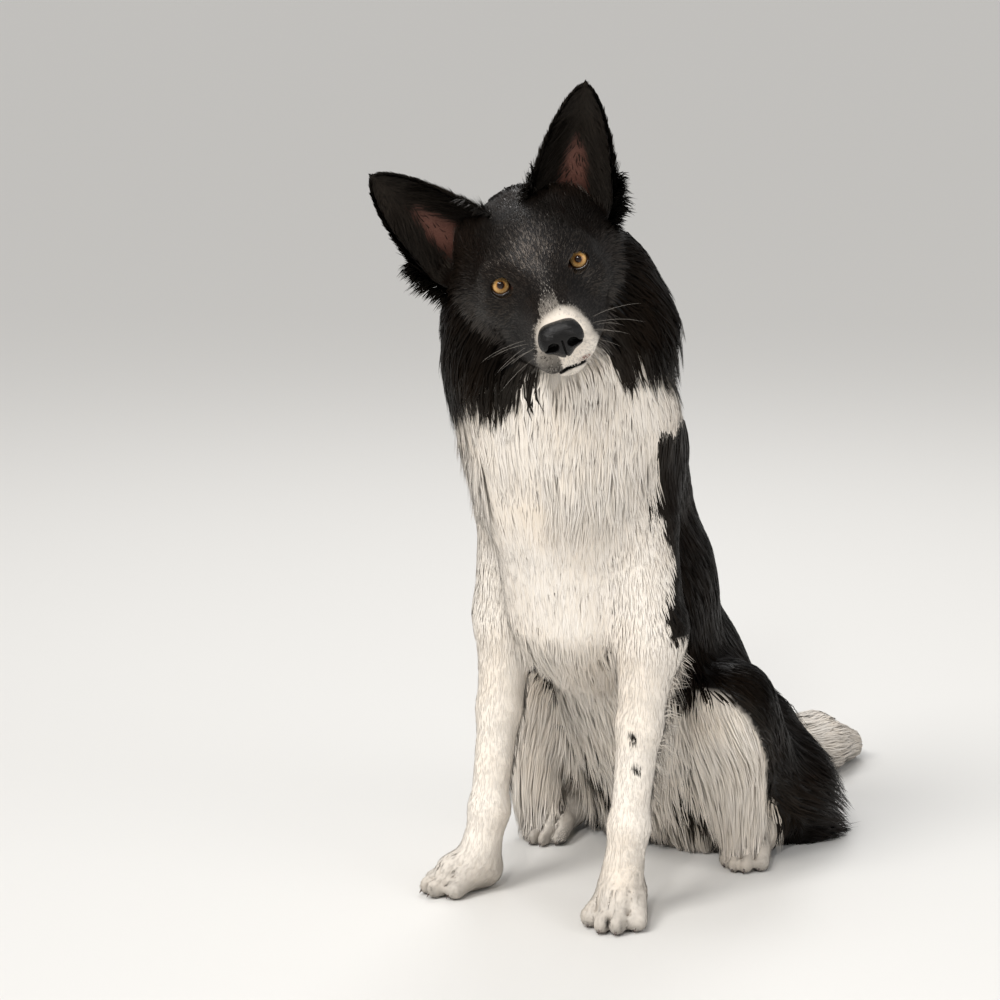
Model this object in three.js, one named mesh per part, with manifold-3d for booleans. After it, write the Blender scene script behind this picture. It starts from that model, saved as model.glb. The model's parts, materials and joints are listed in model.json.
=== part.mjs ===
// A black and white sheepdog, sitting with its head tilted to one side: a life-size still model.
//
// Millimetres, +Z up, the dog facing -Y, its left side towards +X. The body is one smooth field of
// rounded masses laid along the bones. The field is turned into a mesh, thinned, and parted into
// named nodes by thin straight cuts. Long hair is built lock by lock on the node that it grows from.
import * as THREE from "three";
import { mergeVertices } from "three/addons/utils/BufferGeometryUtils.js";
import Module from "manifold-3d";

const wasm = await Module();
wasm.setup();

// ---- driving dimensions -------------------------------------------------------------------
const EYE_HEIGHT = 611; // middle of the eyes above the floor
const HEAD_YAW = 36; // degrees: the head turns to the dog's left
const HEAD_PITCH = 11; // nose down
const HEAD_ROLL = -19; // crown tips to the dog's right
const EYE_SPACING = 72; // between the centres of the eyeballs
const EYE_RADIUS = 11;
const ELBOW_HEIGHT = 268;
const WRIST_HEIGHT = 92;
const SHORT_HAIR = 8; // depth of coat that lies close everywhere
const CORE = 0.45; // share of the long hair that is solid under the locks
const CLAW_LENGTH = 15;
const CLAW_DROP = 28; // degrees below the horizontal
const CUT = 0.3; // gap between touching nodes
const LOCK_GAP = 0.8; // gap between a lock and the nodes it passes
const BODY_CELL = 9; // size of the grid that samples the body
const HEAD_CELL = 3.4;
const BODY_TRIANGLES = 2420;
const HEAD_TRIANGLES = 1430;

// ---- the field of masses ------------------------------------------------------------------
const v3 = (x, y, z) => new THREE.Vector3(x, y, z);
const SIDES = { left: 1, right: -1 };

const headMatrix = new THREE.Matrix4()
  .makeRotationFromEuler(
    new THREE.Euler(
      THREE.MathUtils.degToRad(HEAD_PITCH),
      THREE.MathUtils.degToRad(HEAD_ROLL),
      THREE.MathUtils.degToRad(HEAD_YAW),
      "ZXY",
    ),
  )
  .setPosition(30, -36, EYE_HEIGHT);
const toHead = headMatrix.clone().invert();

const masses = [];

let seed = 11;
function random(low = 0, high = 1) {
  seed = (seed * 1664525 + 1013904223) >>> 0;
  return low + ((high - low) * seed) / 4294967296;
}

// One mass: a rounded cone from a to b, of radius ra to rb, under a coat ca to cb deep. shape stretches
// it along x, y and z, and blend is how softly it runs into the masses before it.
function mass(a, ra, ca, b = a, rb = ra, cb = ca, { shape = [1, 1, 1], blend = 20, head = false } = {}) {
  const [sx, sy, sz] = shape;
  const bx = (b[0] - a[0]) / sx,
    by = (b[1] - a[1]) / sy,
    bz = (b[2] - a[2]) / sz;
  masses.push({ a, ra, ca, rb, cb, shape, blend, head, bx, by, bz });
  masses.at(-1).ll = bx * bx + by * by + bz * bz;
  masses.at(-1).low = Math.min(sx, sy, sz);
}

// Distance from a point to the surface of the coat. Short hair counts in full; coat is how much of the
// long hair beyond it counts: 0 for its roots and 1 for its tips.
function field(x, y, z, coat) {
  const e = toHead.elements;
  const hx = e[0] * x + e[4] * y + e[8] * z + e[12],
    hy = e[1] * x + e[5] * y + e[9] * z + e[13],
    hz = e[2] * x + e[6] * y + e[10] * z + e[14];
  let d = 1e6;
  for (const m of masses) {
    const px = ((m.head ? hx : x) - m.a[0]) / m.shape[0],
      py = ((m.head ? hy : y) - m.a[1]) / m.shape[1],
      pz = ((m.head ? hz : z) - m.a[2]) / m.shape[2];
    const t = m.ll > 0 ? Math.min(1, Math.max(0, (px * m.bx + py * m.by + pz * m.bz) / m.ll)) : 0;
    const qx = px - t * m.bx,
      qy = py - t * m.by,
      qz = pz - t * m.bz;
    const hair = m.ca + (m.cb - m.ca) * t;
    const radius = m.ra + (m.rb - m.ra) * t + Math.min(hair, SHORT_HAIR) + coat * Math.max(hair - SHORT_HAIR, 0);
    const one = (Math.sqrt(qx * qx + qy * qy + qz * qz) - radius) * m.low;
    const mix = Math.max(m.blend - Math.abs(d - one), 0) / m.blend;
    d = Math.min(d, one) - mix * mix * m.blend * 0.25;
  }
  return d;
}

// Trunk, from the chest down and back to the rump
function trunk() {
  const lean = { shape: [0.84, 1, 1], blend: 36 };
  mass([0, 104, 380], 74, 14, [0, 174, 284], 84, 14, lean); // ribs
  mass([0, 174, 284], 84, 14, [0, 252, 184], 72, 14, lean); // loin
  mass([0, 272, 172], 68, 14, [0, 322, 104], 66, 16, { shape: [0.96, 1, 1], blend: 36 }); // rump
  mass([0, 62, 368], 43, 22, [0, 92, 290], 48, 24, { blend: 24 }); // breast and brisket
  mass([0, 138, 442], 34, 14, [0, 184, 394], 48, 10, { blend: 36 }); // withers
  mass([0, 200, 200], 56, 20, [0, 268, 112], 56, 24, { blend: 30 }); // belly
  for (const s of [1, -1]) mass([s * 30, 285, 70], 34, 26, [s * 34, 292, 44], 28, 28, { blend: 26 }); // groin
}

function neck() {
  mass([0, 108, 432], 76, 18, [-10, 44, 572], 55, 22, { blend: 30 });
  mass([0, 62, 432], 56, 34, [0, 26, 514], 48, 36, { blend: 30 }); // ruff under the throat
  mass([44, 78, 470], 34, 30, [36, 48, 540], 30, 26, { blend: 30 }); // ruff on the sides
  mass([-52, 74, 472], 35, 30, [-50, 48, 530], 31, 28, { blend: 30 });
}

function head() {
  const h = (shape, blend = 12) => ({ shape, blend, head: true });
  mass([0, 52, 12], 43.5, 5, [0, 52, 12], 43.5, 5, h([1.12, 1.2, 0.84], 30)); // cranium
  mass([0, 14, 10], 34, 4, [0, 14, 10], 34, 4, h([1.05, 1, 0.86], 24)); // forehead
  mass([0, 94, 16], 28, 10, [0, 104, 0], 34, 14, h([1, 1, 1], 24)); // occiput
  mass([0, -4, -20], 32, 3, [0, -76, -35], 23.5, 2, h([1.02, 1, 0.92], 24)); // muzzle
  mass([0, -4, 2], 12, 2, [0, -84, -19], 11, 2, h([1.1, 1, 1], 14)); // bridge of the nose
  mass([0, -70, -57], 12, 3, [0, 10, -62], 24, 6, h([1.1, 1, 0.9], 12)); // lower jaw
  mass([0, 56, -58], 34, 18, [0, 56, -58], 34, 18, h([1.1, 1, 1], 24)); // throat
  for (const s of [1, -1]) {
    mass([s * 48, 60, -46], 30, 22, [s * 54, 62, -92], 28, 27, h([1, 1, 1], 22)); // side ruff
    mass([s * 19, -3, 12], 13, 3, [s * 36, 5, 11], 11, 3, h([1, 1, 1], 10)); // brow
    mass([s * 36, 2, -18], 18, 4, [s * 41, 50, -14], 26, 9, h([1, 1, 1], 22)); // cheek
    mass([s * 34, 50, -34], 27, 12, [s * 34, 50, -34], 27, 12, h([1, 1, 1], 18)); // jaw muscle
    mass([s * 12, -76, -43], 14.5, 2, [s * 26, -14, -44], 17, 4, h([1, 1, 1], 12)); // lips
    mass([s * 34, 62, 30], 17, 8, [s * 50, 68, 34], 15, 8, h([1, 1, 1], 14)); // root of the ear
  }
}

const claws = [];

// A paw from heel to toe tips along a bearing (degrees, outwards from straight ahead)
function paw(name, side, heel, bearing, length, width) {
  const turn = THREE.MathUtils.degToRad(bearing) * side;
  const at = (across, ahead, up) => [
    heel[0] + across * Math.cos(turn) + ahead * Math.sin(turn),
    heel[1] + across * Math.sin(turn) - ahead * Math.cos(turn),
    up,
  ];
  mass(at(0, 2, 18), width * 0.3, 3, at(0, length * 0.48, width * 0.33), width * 0.35, 3, { blend: 12 });
  for (const [across, reach] of [[-0.36, 0.8], [-0.125, 1], [0.125, 1], [0.36, 0.8]]) {
    const tip = length * reach - width * 0.17;
    mass(at(across * width, length * 0.4, width * 0.36), width * 0.175, 2.5,
      at(across * width * 1.08, tip, width * 0.19), width * 0.16, 1.5, { blend: 4 });
    claws.push({ name, root: at(across * width * 1.08, tip + width * 0.12, 10), bearing: turn });
  }
}

function foreleg(side, shoulder, elbow, wrist, heel, bearing, length, width) {
  mass([side * 44, 108, 418], 30, 10, shoulder, 37, 9, { blend: 20 }); // shoulder blade
  mass(shoulder, 37, 9, elbow, 27, 7, { blend: 12 }); // upper arm
  mass([elbow[0] + side * 4, elbow[1] + 15, elbow[2] + 6], 16, 5, [elbow[0], elbow[1] + 4, elbow[2] - 20], 17, 6, { blend: 16 });
  const middle = [0, 1, 2].map((i) => elbow[i] * 0.5 + wrist[i] * 0.5);
  mass(elbow, 25, 7, middle, 17.5, 4, { blend: 16 }); // forearm
  mass(middle, 17.5, 4, wrist, 14.5, 3, { blend: 8 });
  mass([wrist[0], wrist[1] + 2, wrist[2] - 4], 15.5, 3); // wrist
  mass([wrist[0], wrist[1], wrist[2] - 8], 15.5, 3, [heel[0], heel[1] - 12, 30], 17, 3, { blend: 10 }); // pastern
  paw(side > 0 ? "front_paw_left" : "front_paw_right", side, heel, bearing, length, width);
}

// drape is how far outside the knee the hair in front of the shank hangs.
function hindleg(side, hip, knee, hock, heel, bearing, drape) {
  mass(hip, 56, 12, knee, 27, 10, { shape: [0.76, 1, 1], blend: 30 }); // thigh
  mass([side * 56, 336, 92], 44, 22, [side * 92, 346, 56], 28, 26, { blend: 30 }); // buttock
  mass([side * 92, 346, 56], 28, 26, [side * 103, 356, 20], 12, 26, { blend: 20 }); // trousers
  mass([knee[0] + side * drape, knee[1] + 2, knee[2] - 40], 17, 14,
    [heel[0] + side * drape, heel[1] - 26, 52], 13, 14, { blend: 24 }); // hair before the shank
  mass(knee, 30, 10, hock, 18, 8, { blend: 24 }); // shank
  mass([hock[0], hock[1], hock[2] - 4], 16, 8, [heel[0], heel[1] + 18, 24], 15, 5, { blend: 12 }); // rear pastern
  paw(side > 0 ? "hind_paw_left" : "hind_paw_right", side, heel, bearing, 60, 46);
}

function tail() {
  mass([0, 372, 84], 24, 20, [4, 470, 44], 17, 24, { blend: 26 });
  mass([4, 470, 44], 17, 24, [20, 588, 30], 12, 24, { blend: 16 });
  mass([20, 588, 30], 12, 24, [32, 650, 18], 5, 15, { blend: 16 });
}

trunk();
neck();
foreleg(1, [55, 84, 374], [80, 84, ELBOW_HEIGHT], [79, 48, WRIST_HEIGHT], [72, 58, 0], 14, 72, 58);
foreleg(-1, [-53, 84, 374], [-76, 90, ELBOW_HEIGHT - 2], [-77, 54, WRIST_HEIGHT - 8], [-84, 58, 0], 28, 68, 53);
hindleg(1, [50, 282, 120], [106, 214, 170], [106, 336, 48], [103, 274, 0], 8, -6);
hindleg(-1, [-50, 282, 120], [-106, 210, 174], [-108, 322, 48], [-104, 248, 0], 0, 16);
tail();
head();

// ---- from field to mesh -------------------------------------------------------------------
// Marching tetrahedra: each grid cell is six tetrahedra, and each gives no, one or two triangles.
function meshOf(sample, low, high, cell) {
  const n = [0, 1, 2].map((i) => Math.ceil((high[i] - low[i]) / cell) + 1);
  const stride = [1, n[0], n[0] * n[1]];
  const values = new Float32Array(n[0] * n[1] * n[2]);
  let at = 0;
  for (let k = 0; k < n[2]; k++)
    for (let j = 0; j < n[1]; j++)
      for (let i = 0; i < n[0]; i++)
        values[at++] = sample(low[0] + i * cell, low[1] + j * cell, low[2] + k * cell);
  const corner = [0, 1, 3, 2, 4, 5, 7, 6].map((c) => (c & 1) * stride[0] + ((c >> 1) & 1) * stride[1] + (c >> 2) * stride[2]);
  const tetrahedra = [[0, 5, 1, 6], [0, 1, 2, 6], [0, 2, 3, 6], [0, 3, 7, 6], [0, 7, 4, 6], [0, 4, 5, 6]];
  const points = [],
    faces = [],
    made = new Map();
  const place = (g) => [g % n[0], Math.floor(g / n[0]) % n[1], Math.floor(g / stride[2])];
  function crossing(g, h) {
    if (g > h) [g, h] = [h, g];
    const key = g * 16777216 + (h - g);
    if (!made.has(key)) {
      const t = Math.min(0.97, Math.max(0.03, values[g] / (values[g] - values[h])));
      const p = place(g),
        q = place(h);
      made.set(key, points.length / 3);
      for (let i = 0; i < 3; i++) points.push(low[i] + (p[i] + (q[i] - p[i]) * t) * cell);
    }
    return made.get(key);
  }
  for (let k = 0; k < n[2] - 1; k++)
    for (let j = 0; j < n[1] - 1; j++)
      for (let i = 0; i < n[0] - 1; i++) {
        const base = i + j * stride[1] + k * stride[2];
        let inside = 0;
        for (const c of corner) inside += values[base + c] < 0;
        if (inside === 0 || inside === 8) continue;
        for (const t of tetrahedra) {
          const g = t.map((c) => base + corner[c]);
          const ins = g.filter((c) => values[c] < 0),
            outs = g.filter((c) => values[c] >= 0);
          if (!ins.length || !outs.length) continue;
          const pairs =
            ins.length === 1 ? outs.map((o) => [ins[0], o])
            : ins.length === 3 ? ins.map((o) => [o, outs[0]])
            : [[ins[0], outs[0]], [ins[0], outs[1]], [ins[1], outs[1]], [ins[1], outs[0]]];
          if (facesIn(pairs.map((pair) => pair.map(place)))) pairs.reverse();
          const ring = pairs.map(([g, h]) => crossing(g, h));
          for (let f = 2; f < ring.length; f++) faces.push([ring[0], ring[f - 1], ring[f]]);
        }
      }
  return { points, faces };
}

// Whether a ring of cut grid edges, each from its inner end to its outer end, runs the wrong way round
function facesIn(edges) {
  const [a, b, c] = edges.map(([p, q]) => v3(p[0] + q[0], p[1] + q[1], p[2] + q[2]));
  const out = v3(...edges[0][1]).sub(v3(...edges[0][0]));
  return b.sub(a).cross(c.sub(a)).dot(out) < 0;
}

// Edge collapse by quadric error, down to a number of triangles. It never pinches or folds the surface.
function thin({ points, faces }, wanted, { limit = Infinity, evenness = 0.002, least = 0 } = {}) {
  const count = points.length / 3;
  const around = Array.from({ length: count }, () => new Set());
  faces.forEach((f, i) => f.forEach((v) => around[v].add(i)));
  const quadric = Array.from({ length: count }, () => new Float64Array(10));
  const point = (v) => [points[3 * v], points[3 * v + 1], points[3 * v + 2]];
  const cross = (a, b, c) => {
    const ux = b[0] - a[0], uy = b[1] - a[1], uz = b[2] - a[2];
    const wx = c[0] - a[0], wy = c[1] - a[1], wz = c[2] - a[2];
    return [uy * wz - uz * wy, uz * wx - ux * wz, ux * wy - uy * wx];
  };
  for (const f of faces) {
    const [a, b, c] = f.map(point);
    const m = cross(a, b, c);
    const area = Math.hypot(...m);
    if (area < 1e-9) continue;
    const [x, y, z] = m.map((w) => w / area);
    const weight = Math.max(area, least);
    const d = -(x * a[0] + y * a[1] + z * a[2]);
    const add = [x * x, x * y, x * z, x * d, y * y, y * z, y * d, z * z, z * d, d * d];
    for (const v of f) for (let i = 0; i < 10; i++) quadric[v][i] += add[i] * weight;
  }
  const error = (q, [x, y, z]) =>
    q[0] * x * x + 2 * q[1] * x * y + 2 * q[2] * x * z + 2 * q[3] * x + q[4] * y * y +
    2 * q[5] * y * z + 2 * q[6] * y + q[7] * z * z + 2 * q[8] * z + q[9];
  function best(u, v) {
    const q = quadric[u].map((w, i) => w + quadric[v][i]);
    const a = point(u), b = point(v);
    const spots = [a, b, a.map((w, i) => (w + b[i]) / 2)];
    const det = q[0] * (q[4] * q[7] - q[5] * q[5]) - q[1] * (q[1] * q[7] - q[5] * q[2]) + q[2] * (q[1] * q[5] - q[4] * q[2]);
    if (Math.abs(det) > 1e-3) {
      const x = -(q[3] * (q[4] * q[7] - q[5] * q[5]) - q[1] * (q[6] * q[7] - q[8] * q[5]) + q[2] * (q[6] * q[5] - q[8] * q[4])) / det;
      const y = -(q[0] * (q[6] * q[7] - q[5] * q[8]) - q[3] * (q[1] * q[7] - q[5] * q[2]) + q[2] * (q[1] * q[8] - q[6] * q[2])) / det;
      const z = -(q[0] * (q[4] * q[8] - q[6] * q[5]) - q[1] * (q[1] * q[8] - q[6] * q[2]) + q[3] * (q[1] * q[5] - q[4] * q[2])) / det;
      const reach = Math.hypot(a[0] - b[0], a[1] - b[1], a[2] - b[2]);
      if (Math.hypot(x - spots[2][0], y - spots[2][1], z - spots[2][2]) < 1.2 * reach) spots.unshift([x, y, z]);
    }
    let low = Infinity, spot = null;
    for (const s of spots) {
      const e = error(q, s);
      if (e < low) [low, spot] = [e, s];
    }
    const span = (a[0] - b[0]) ** 2 + (a[1] - b[1]) ** 2 + (a[2] - b[2]) ** 2;
    return { cost: low + evenness * span * span, spot };
  }
  const heap = [];
  const version = new Uint32Array(count);
  const push = (item) => {
    heap.push(item);
    for (let i = heap.length - 1; i > 0; ) {
      const up = (i - 1) >> 1;
      if (heap[up].cost <= heap[i].cost) break;
      [heap[up], heap[i]] = [heap[i], heap[up]];
      i = up;
    }
  };
  const pop = () => {
    const top = heap[0], last = heap.pop();
    if (heap.length) {
      heap[0] = last;
      for (let i = 0; ; ) {
        let low = i;
        for (const c of [2 * i + 1, 2 * i + 2]) if (c < heap.length && heap[c].cost < heap[low].cost) low = c;
        if (low === i) break;
        [heap[low], heap[i]] = [heap[i], heap[low]];
        i = low;
      }
    }
    return top;
  };
  const offer = (u, v) => push({ u, v, at: version[u] + version[v], ...best(u, v) });
  const neighbours = (v) => {
    const out = new Set();
    for (const f of around[v]) for (const w of faces[f]) if (w !== v) out.add(w);
    return out;
  };
  for (const f of faces) for (let i = 0; i < 3; i++) if (f[i] < f[(i + 1) % 3]) offer(f[i], f[(i + 1) % 3]);
  let left = faces.length;
  const dead = new Uint8Array(count);
  while (left > wanted && heap.length) {
    const { u, v, at, spot, cost } = pop();
    if (cost > limit) break;
    if (dead[u] || dead[v] || at !== version[u] + version[v]) continue;
    const near = neighbours(u), far = neighbours(v);
    let shared = 0;
    for (const w of near) shared += far.has(w);
    if (!near.has(v) || shared !== 2) continue;
    const folds = (v, other) => {
      for (const f of around[v]) {
        if (faces[f].includes(other)) continue;
        const before = faces[f].map(point);
        const after = faces[f].map((w, i) => (w === v ? spot : before[i]));
        const m = cross(...before), n = cross(...after);
        const size = Math.hypot(...m) * Math.hypot(...n);
        if (m[0] * n[0] + m[1] * n[1] + m[2] * n[2] < 0.35 * size || size < 1e-6) return true;
      }
      return false;
    };
    if (folds(u, v) || folds(v, u)) continue;
    for (const f of [...around[v]]) {
      if (faces[f].includes(u)) {
        for (const w of faces[f]) around[w].delete(f);
        faces[f] = null;
        left--;
      } else {
        faces[f] = faces[f].map((w) => (w === v ? u : w));
        around[u].add(f);
      }
    }
    around[v].clear();
    dead[v] = 1;
    for (let i = 0; i < 3; i++) points[3 * u + i] = spot[i];
    for (let i = 0; i < 10; i++) quadric[u][i] += quadric[v][i];
    version[u]++;
    for (const w of neighbours(u)) {
      version[w]++;
    }
    for (const w of neighbours(u)) {
      offer(u, w);
      for (const x of neighbours(w)) if (x !== u && x > w) offer(w, x);
    }
  }
  return { points, faces: faces.filter(Boolean) };
}

// ---- solids -------------------------------------------------------------------------------
function solidFrom(points, triangles) {
  return new wasm.Manifold(
    new wasm.Mesh({ numProp: 3, vertProperties: Float32Array.from(points), triVerts: Uint32Array.from(triangles) }),
  );
}

const solidOfField = ({ points, faces }) => {
  const used = new Map();
  const flat = [];
  const triangles = faces.flat().map((v) => {
    if (!used.has(v)) {
      used.set(v, used.size);
      flat.push(points[3 * v], points[3 * v + 1], points[3 * v + 2]);
    }
    return used.get(v);
  });
  return largest(solidFrom(flat, triangles));
};

// Drops the triangles that cuts and joins leave on flat places, moving no corner by half a gap
function tidied(solid) {
  const m = solid.getMesh();
  const points = [];
  for (let i = 0; i < m.numVert; i++) points.push(...m.vertProperties.subarray(i * m.numProp, i * m.numProp + 3));
  const faces = [];
  for (let i = 0; i < m.triVerts.length; i += 3) faces.push([...m.triVerts.subarray(i, i + 3)]);
  return solidOfField(thin({ points, faces }, 100, { limit: 0.5, evenness: 1e-6, least: 25 }));
}

function solidOfGeometry(geometry) {
  const bare = geometry.clone();
  for (const name of Object.keys(bare.attributes)) if (name !== "position") bare.deleteAttribute(name);
  const merged = mergeVertices(bare, 1e-4);
  return solidFrom(merged.attributes.position.array, merged.index.array);
}

function largest(solid) {
  const pieces = solid.decompose().sort((a, b) => b.volume() - a.volume());
  return pieces[0];
}

function geometryOf(solid) {
  const m = solid.getMesh();
  const places = new Float32Array(m.numVert * 3);
  for (let i = 0; i < m.numVert; i++) places.set(m.vertProperties.subarray(i * m.numProp, i * m.numProp + 3), i * 3);
  const geometry = new THREE.BufferGeometry()
    .setAttribute("position", new THREE.BufferAttribute(places, 3))
    .setIndex(new THREE.BufferAttribute(m.triVerts, 1));
  geometry.computeVertexNormals();
  return geometry;
}

// A box set on a point of its lower face and turned, used to part one piece of the body from the rest.
// It returns a function of how far the box is grown on every side.
function region(size, foot, turn = [0, 0, 0], frame = new THREE.Matrix4()) {
  const angles = new THREE.Euler(...turn.map(THREE.MathUtils.degToRad), "ZXY");
  const matrix = new THREE.Matrix4().makeRotationFromEuler(angles).setPosition(...foot).premultiply(frame);
  return (grow) => {
    const box = new THREE.BoxGeometry(...size.map((s) => s + 2 * grow));
    return solidOfGeometry(box.translate(0, 0, size[2] / 2).applyMatrix4(matrix));
  };
}

// Splits a solid into what is in the region and what is outside it, with a thin gap between them
function split(solid, part, gap = CUT) {
  return [largest(solid.intersect(part(0))), largest(solid.subtract(part(gap)))];
}

function place(geometry, matrix) {
  return solidOfGeometry(geometry.applyMatrix4(matrix));
}

const ball = (radii, centre, turn = 0, around = 14) =>
  place(
    new THREE.SphereGeometry(1, around, Math.round(around * 0.6)),
    new THREE.Matrix4()
      .makeRotationZ(THREE.MathUtils.degToRad(turn))
      .setPosition(...centre)
      .scale(v3(...radii)),
  );

// ---- head ---------------------------------------------------------------------------------
const NECK_TILT = 20; // slope of the cut between head and neck, in the head's own frame
const headFoot = [0, 75, -84];
const headRegion = (frame) => region([500, 600, 400], headFoot, [NECK_TILT, 0, 0], frame);
const tilt = THREE.MathUtils.degToRad(NECK_TILT);
const aboveNeck = (y, z) => (z - headFoot[2]) * Math.cos(tilt) - (y - headFoot[1]) * Math.sin(tilt);

const spot = v3(0, 0, 0);
function headField(x, y, z) {
  spot.set(x, y, z).applyMatrix4(headMatrix);
  return Math.max(field(spot.x, spot.y, spot.z, CORE), -4 - aboveNeck(y, z));
}

const EARS = {
  left: { inner: [17, 60, 58], outer: [79, 60, 10], tip: [91, 70, 129] },
  right: { inner: [-32, 60, 52], outer: [-89, 60, -4], tip: [-114, 70, 112] },
};
const EAR_STEPS = [-0.14, 0, 0.14, 0.28, 0.42, 0.56, 0.7, 0.82, 0.91, 0.96];
const EAR_COLUMNS = 9;

function earFrame({ inner, outer, tip }) {
  const root = v3(...inner).lerp(v3(...outer), 0.5);
  const axis = v3(...tip).sub(root);
  const across = v3(...outer).sub(v3(...inner));
  const aside = across.clone().addScaledVector(axis, -across.dot(axis) / axis.lengthSq()).normalize();
  const back = axis.clone().cross(aside).normalize();
  if (back.y < 0) back.negate();
  return { root, axis, aside, back, half: across.length() * 0.49 };
}

// An ear is a cup that opens forwards, wide at its root and drawn to a point
function ear({ inner, outer, tip }) {
  const { root, axis, aside, back, half } = earFrame({ inner, outer, tip });
  const points = [];
  for (const u of EAR_STEPS) {
    const width = half * Math.max(1 - u, 0) ** 0.72 * (1 + 0.34 * u);
    const open = THREE.MathUtils.degToRad(84 - 46 * u);
    const radius = width / Math.sin(open);
    for (const skin of [0, Math.min(5 - 2 * u, radius * 0.5)])
      for (let i = 0; i < EAR_COLUMNS; i++) {
        const angle = open * ((2 * i) / (EAR_COLUMNS - 1) - 1);
        const p = root.clone().addScaledVector(axis, u);
        p.addScaledVector(aside, (radius - skin) * Math.sin(angle));
        p.addScaledVector(back, (radius - skin) * Math.cos(angle) - radius * Math.cos(open));
        points.push(...p.toArray());
      }
  }
  const top = points.length / 3;
  points.push(...v3(...tip).toArray());
  // rings run round the outside of the cup and back along the inside
  const ring = [...Array(EAR_COLUMNS).keys()];
  ring.push(...ring.map((i) => EAR_COLUMNS + i).reverse());
  const size = ring.length;
  const faces = [];
  for (let r = 0; r + 1 < EAR_STEPS.length; r++)
    for (let i = 0; i < size; i++) {
      const [a, b] = [ring[i], ring[(i + 1) % size]].map((w) => r * size + w);
      faces.push([a, b, b + size], [a, b + size, a + size]);
    }
  const last = (EAR_STEPS.length - 1) * size;
  for (let i = 0; i < size; i++) faces.push([last + ring[i], last + ring[(i + 1) % size], top]);
  for (let i = 0; i + 1 < EAR_COLUMNS; i++) {
    faces.push([i, EAR_COLUMNS + i, i + 1], [i + 1, EAR_COLUMNS + i, EAR_COLUMNS + i + 1]);
  }
  const solid = solidFrom(points, faces.flat());
  return solid.volume() > 0 ? solid : solidFrom(points, faces.map((f) => [...f].reverse()).flat());
}

// The mouth line runs back from the lips to their corner, seen from the side (y, z)
const MOUTH = [[-135, -55], [-100, -57], [-70, -62], [-42, -58], [-16, -50]];
function jawRegion(grow) {
  const outline = [...MOUTH.map(([y, z]) => [y, z + grow]), [-16 + grow, -50 + grow], [-16 + grow, -90 - grow], [-135, -90 - grow]];
  const shape = new THREE.Shape(outline.map(([y, z]) => new THREE.Vector2(y, z)));
  const prism = new THREE.ExtrudeGeometry(shape, { depth: 160, bevelEnabled: false });
  // the shape's plane is turned from x, y to y, z
  return place(prism, new THREE.Matrix4().makeBasis(v3(0, 1, 0), v3(0, 0, 1), v3(1, 0, 0)).setPosition(-80, 0, 0));
}

const noseSolid = (grow) => ball([19.5 + grow, 12.5 + grow, 15 + grow], [-0.5, -97, -29]);

function buildHead() {
  const mesh = thin(meshOf(headField, [-150, -140, -170], [150, 165, 100], HEAD_CELL), HEAD_TRIANGLES);
  let solid = solidOfField(mesh).intersect(headRegion()(0));
  const nodes = {};
  for (const [side, s] of Object.entries(SIDES)) {
    const eye = [(s * EYE_SPACING) / 2, -4, 1.5];
    const fringe = earFringe(EARS[side]).map((l) => lockSolid(l.line, l.width, l.thickness));
    solid = solid.add(ear(EARS[side])).add(wasm.Manifold.union(fringe));
    solid = solid.add(ball([14.5, 13.5, 13.5], eye));
    solid = solid.subtract(ball([10.4, 15, 8.8], [eye[0] - s * 0.5, eye[1] - 16.5, eye[2] + 1.3], s * 8));
    solid = solid.subtract(ball([EYE_RADIUS + CUT, EYE_RADIUS + CUT, EYE_RADIUS + CUT], eye));
    nodes["eye_" + side] = ball([EYE_RADIUS, EYE_RADIUS, EYE_RADIUS], eye);
    const { inner, outer, tip } = EARS[side];
    const root = v3(...inner).lerp(v3(...outer), 0.5);
    const axis = v3(...tip).sub(root);
    const foot = root.clone().addScaledVector(axis, 0.2);
    const lean = THREE.MathUtils.radToDeg(Math.atan2(axis.x, axis.z));
    [nodes["ear_" + side], solid] = split(solid, region([130, 130, 130], foot.toArray(), [0, lean, 0]));
  }
  let nose = noseSolid(0);
  for (const s of [1, -1]) {
    nose = nose.subtract(ball([4.4, 7, 4.6], [s * 8.5 - 0.5, -110, -30], 0, 10));
    nose = nose.subtract(ball([5, 6, 2.2], [s * 14.5 - 0.5, -107, -34], s * 30, 10));
  }
  nodes.nose = nose;
  solid = solid.subtract(noseSolid(CUT));
  [nodes.jaw, solid] = split(solid, jawRegion, 0.8);
  nodes.head = solid;
  return Object.fromEntries(Object.entries(nodes).map(([name, s]) => [name, s.transform(headMatrix.elements)]));
}

// ---- body ---------------------------------------------------------------------------------
const unTurned = v3(0, 0, 0);
function bodyField(x, y, z) {
  unTurned.set(x, y, z).applyMatrix4(toHead);
  return Math.max(field(x, y, z, CORE), -5 - z, aboveNeck(unTurned.y, unTurned.z) - 4);
}

// A claw is a short cone that leaves the toe forwards and down, its point just off the floor
function clawSolid({ root, bearing }) {
  const cone = new THREE.ConeGeometry(2.8, CLAW_LENGTH, 6).translate(0, CLAW_LENGTH / 2, 0);
  const tip = THREE.MathUtils.degToRad(-CLAW_DROP);
  const turn = new THREE.Matrix4().makeRotationZ(Math.PI + bearing).multiply(new THREE.Matrix4().makeRotationX(tip));
  return place(cone, turn.setPosition(...root));
}

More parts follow.
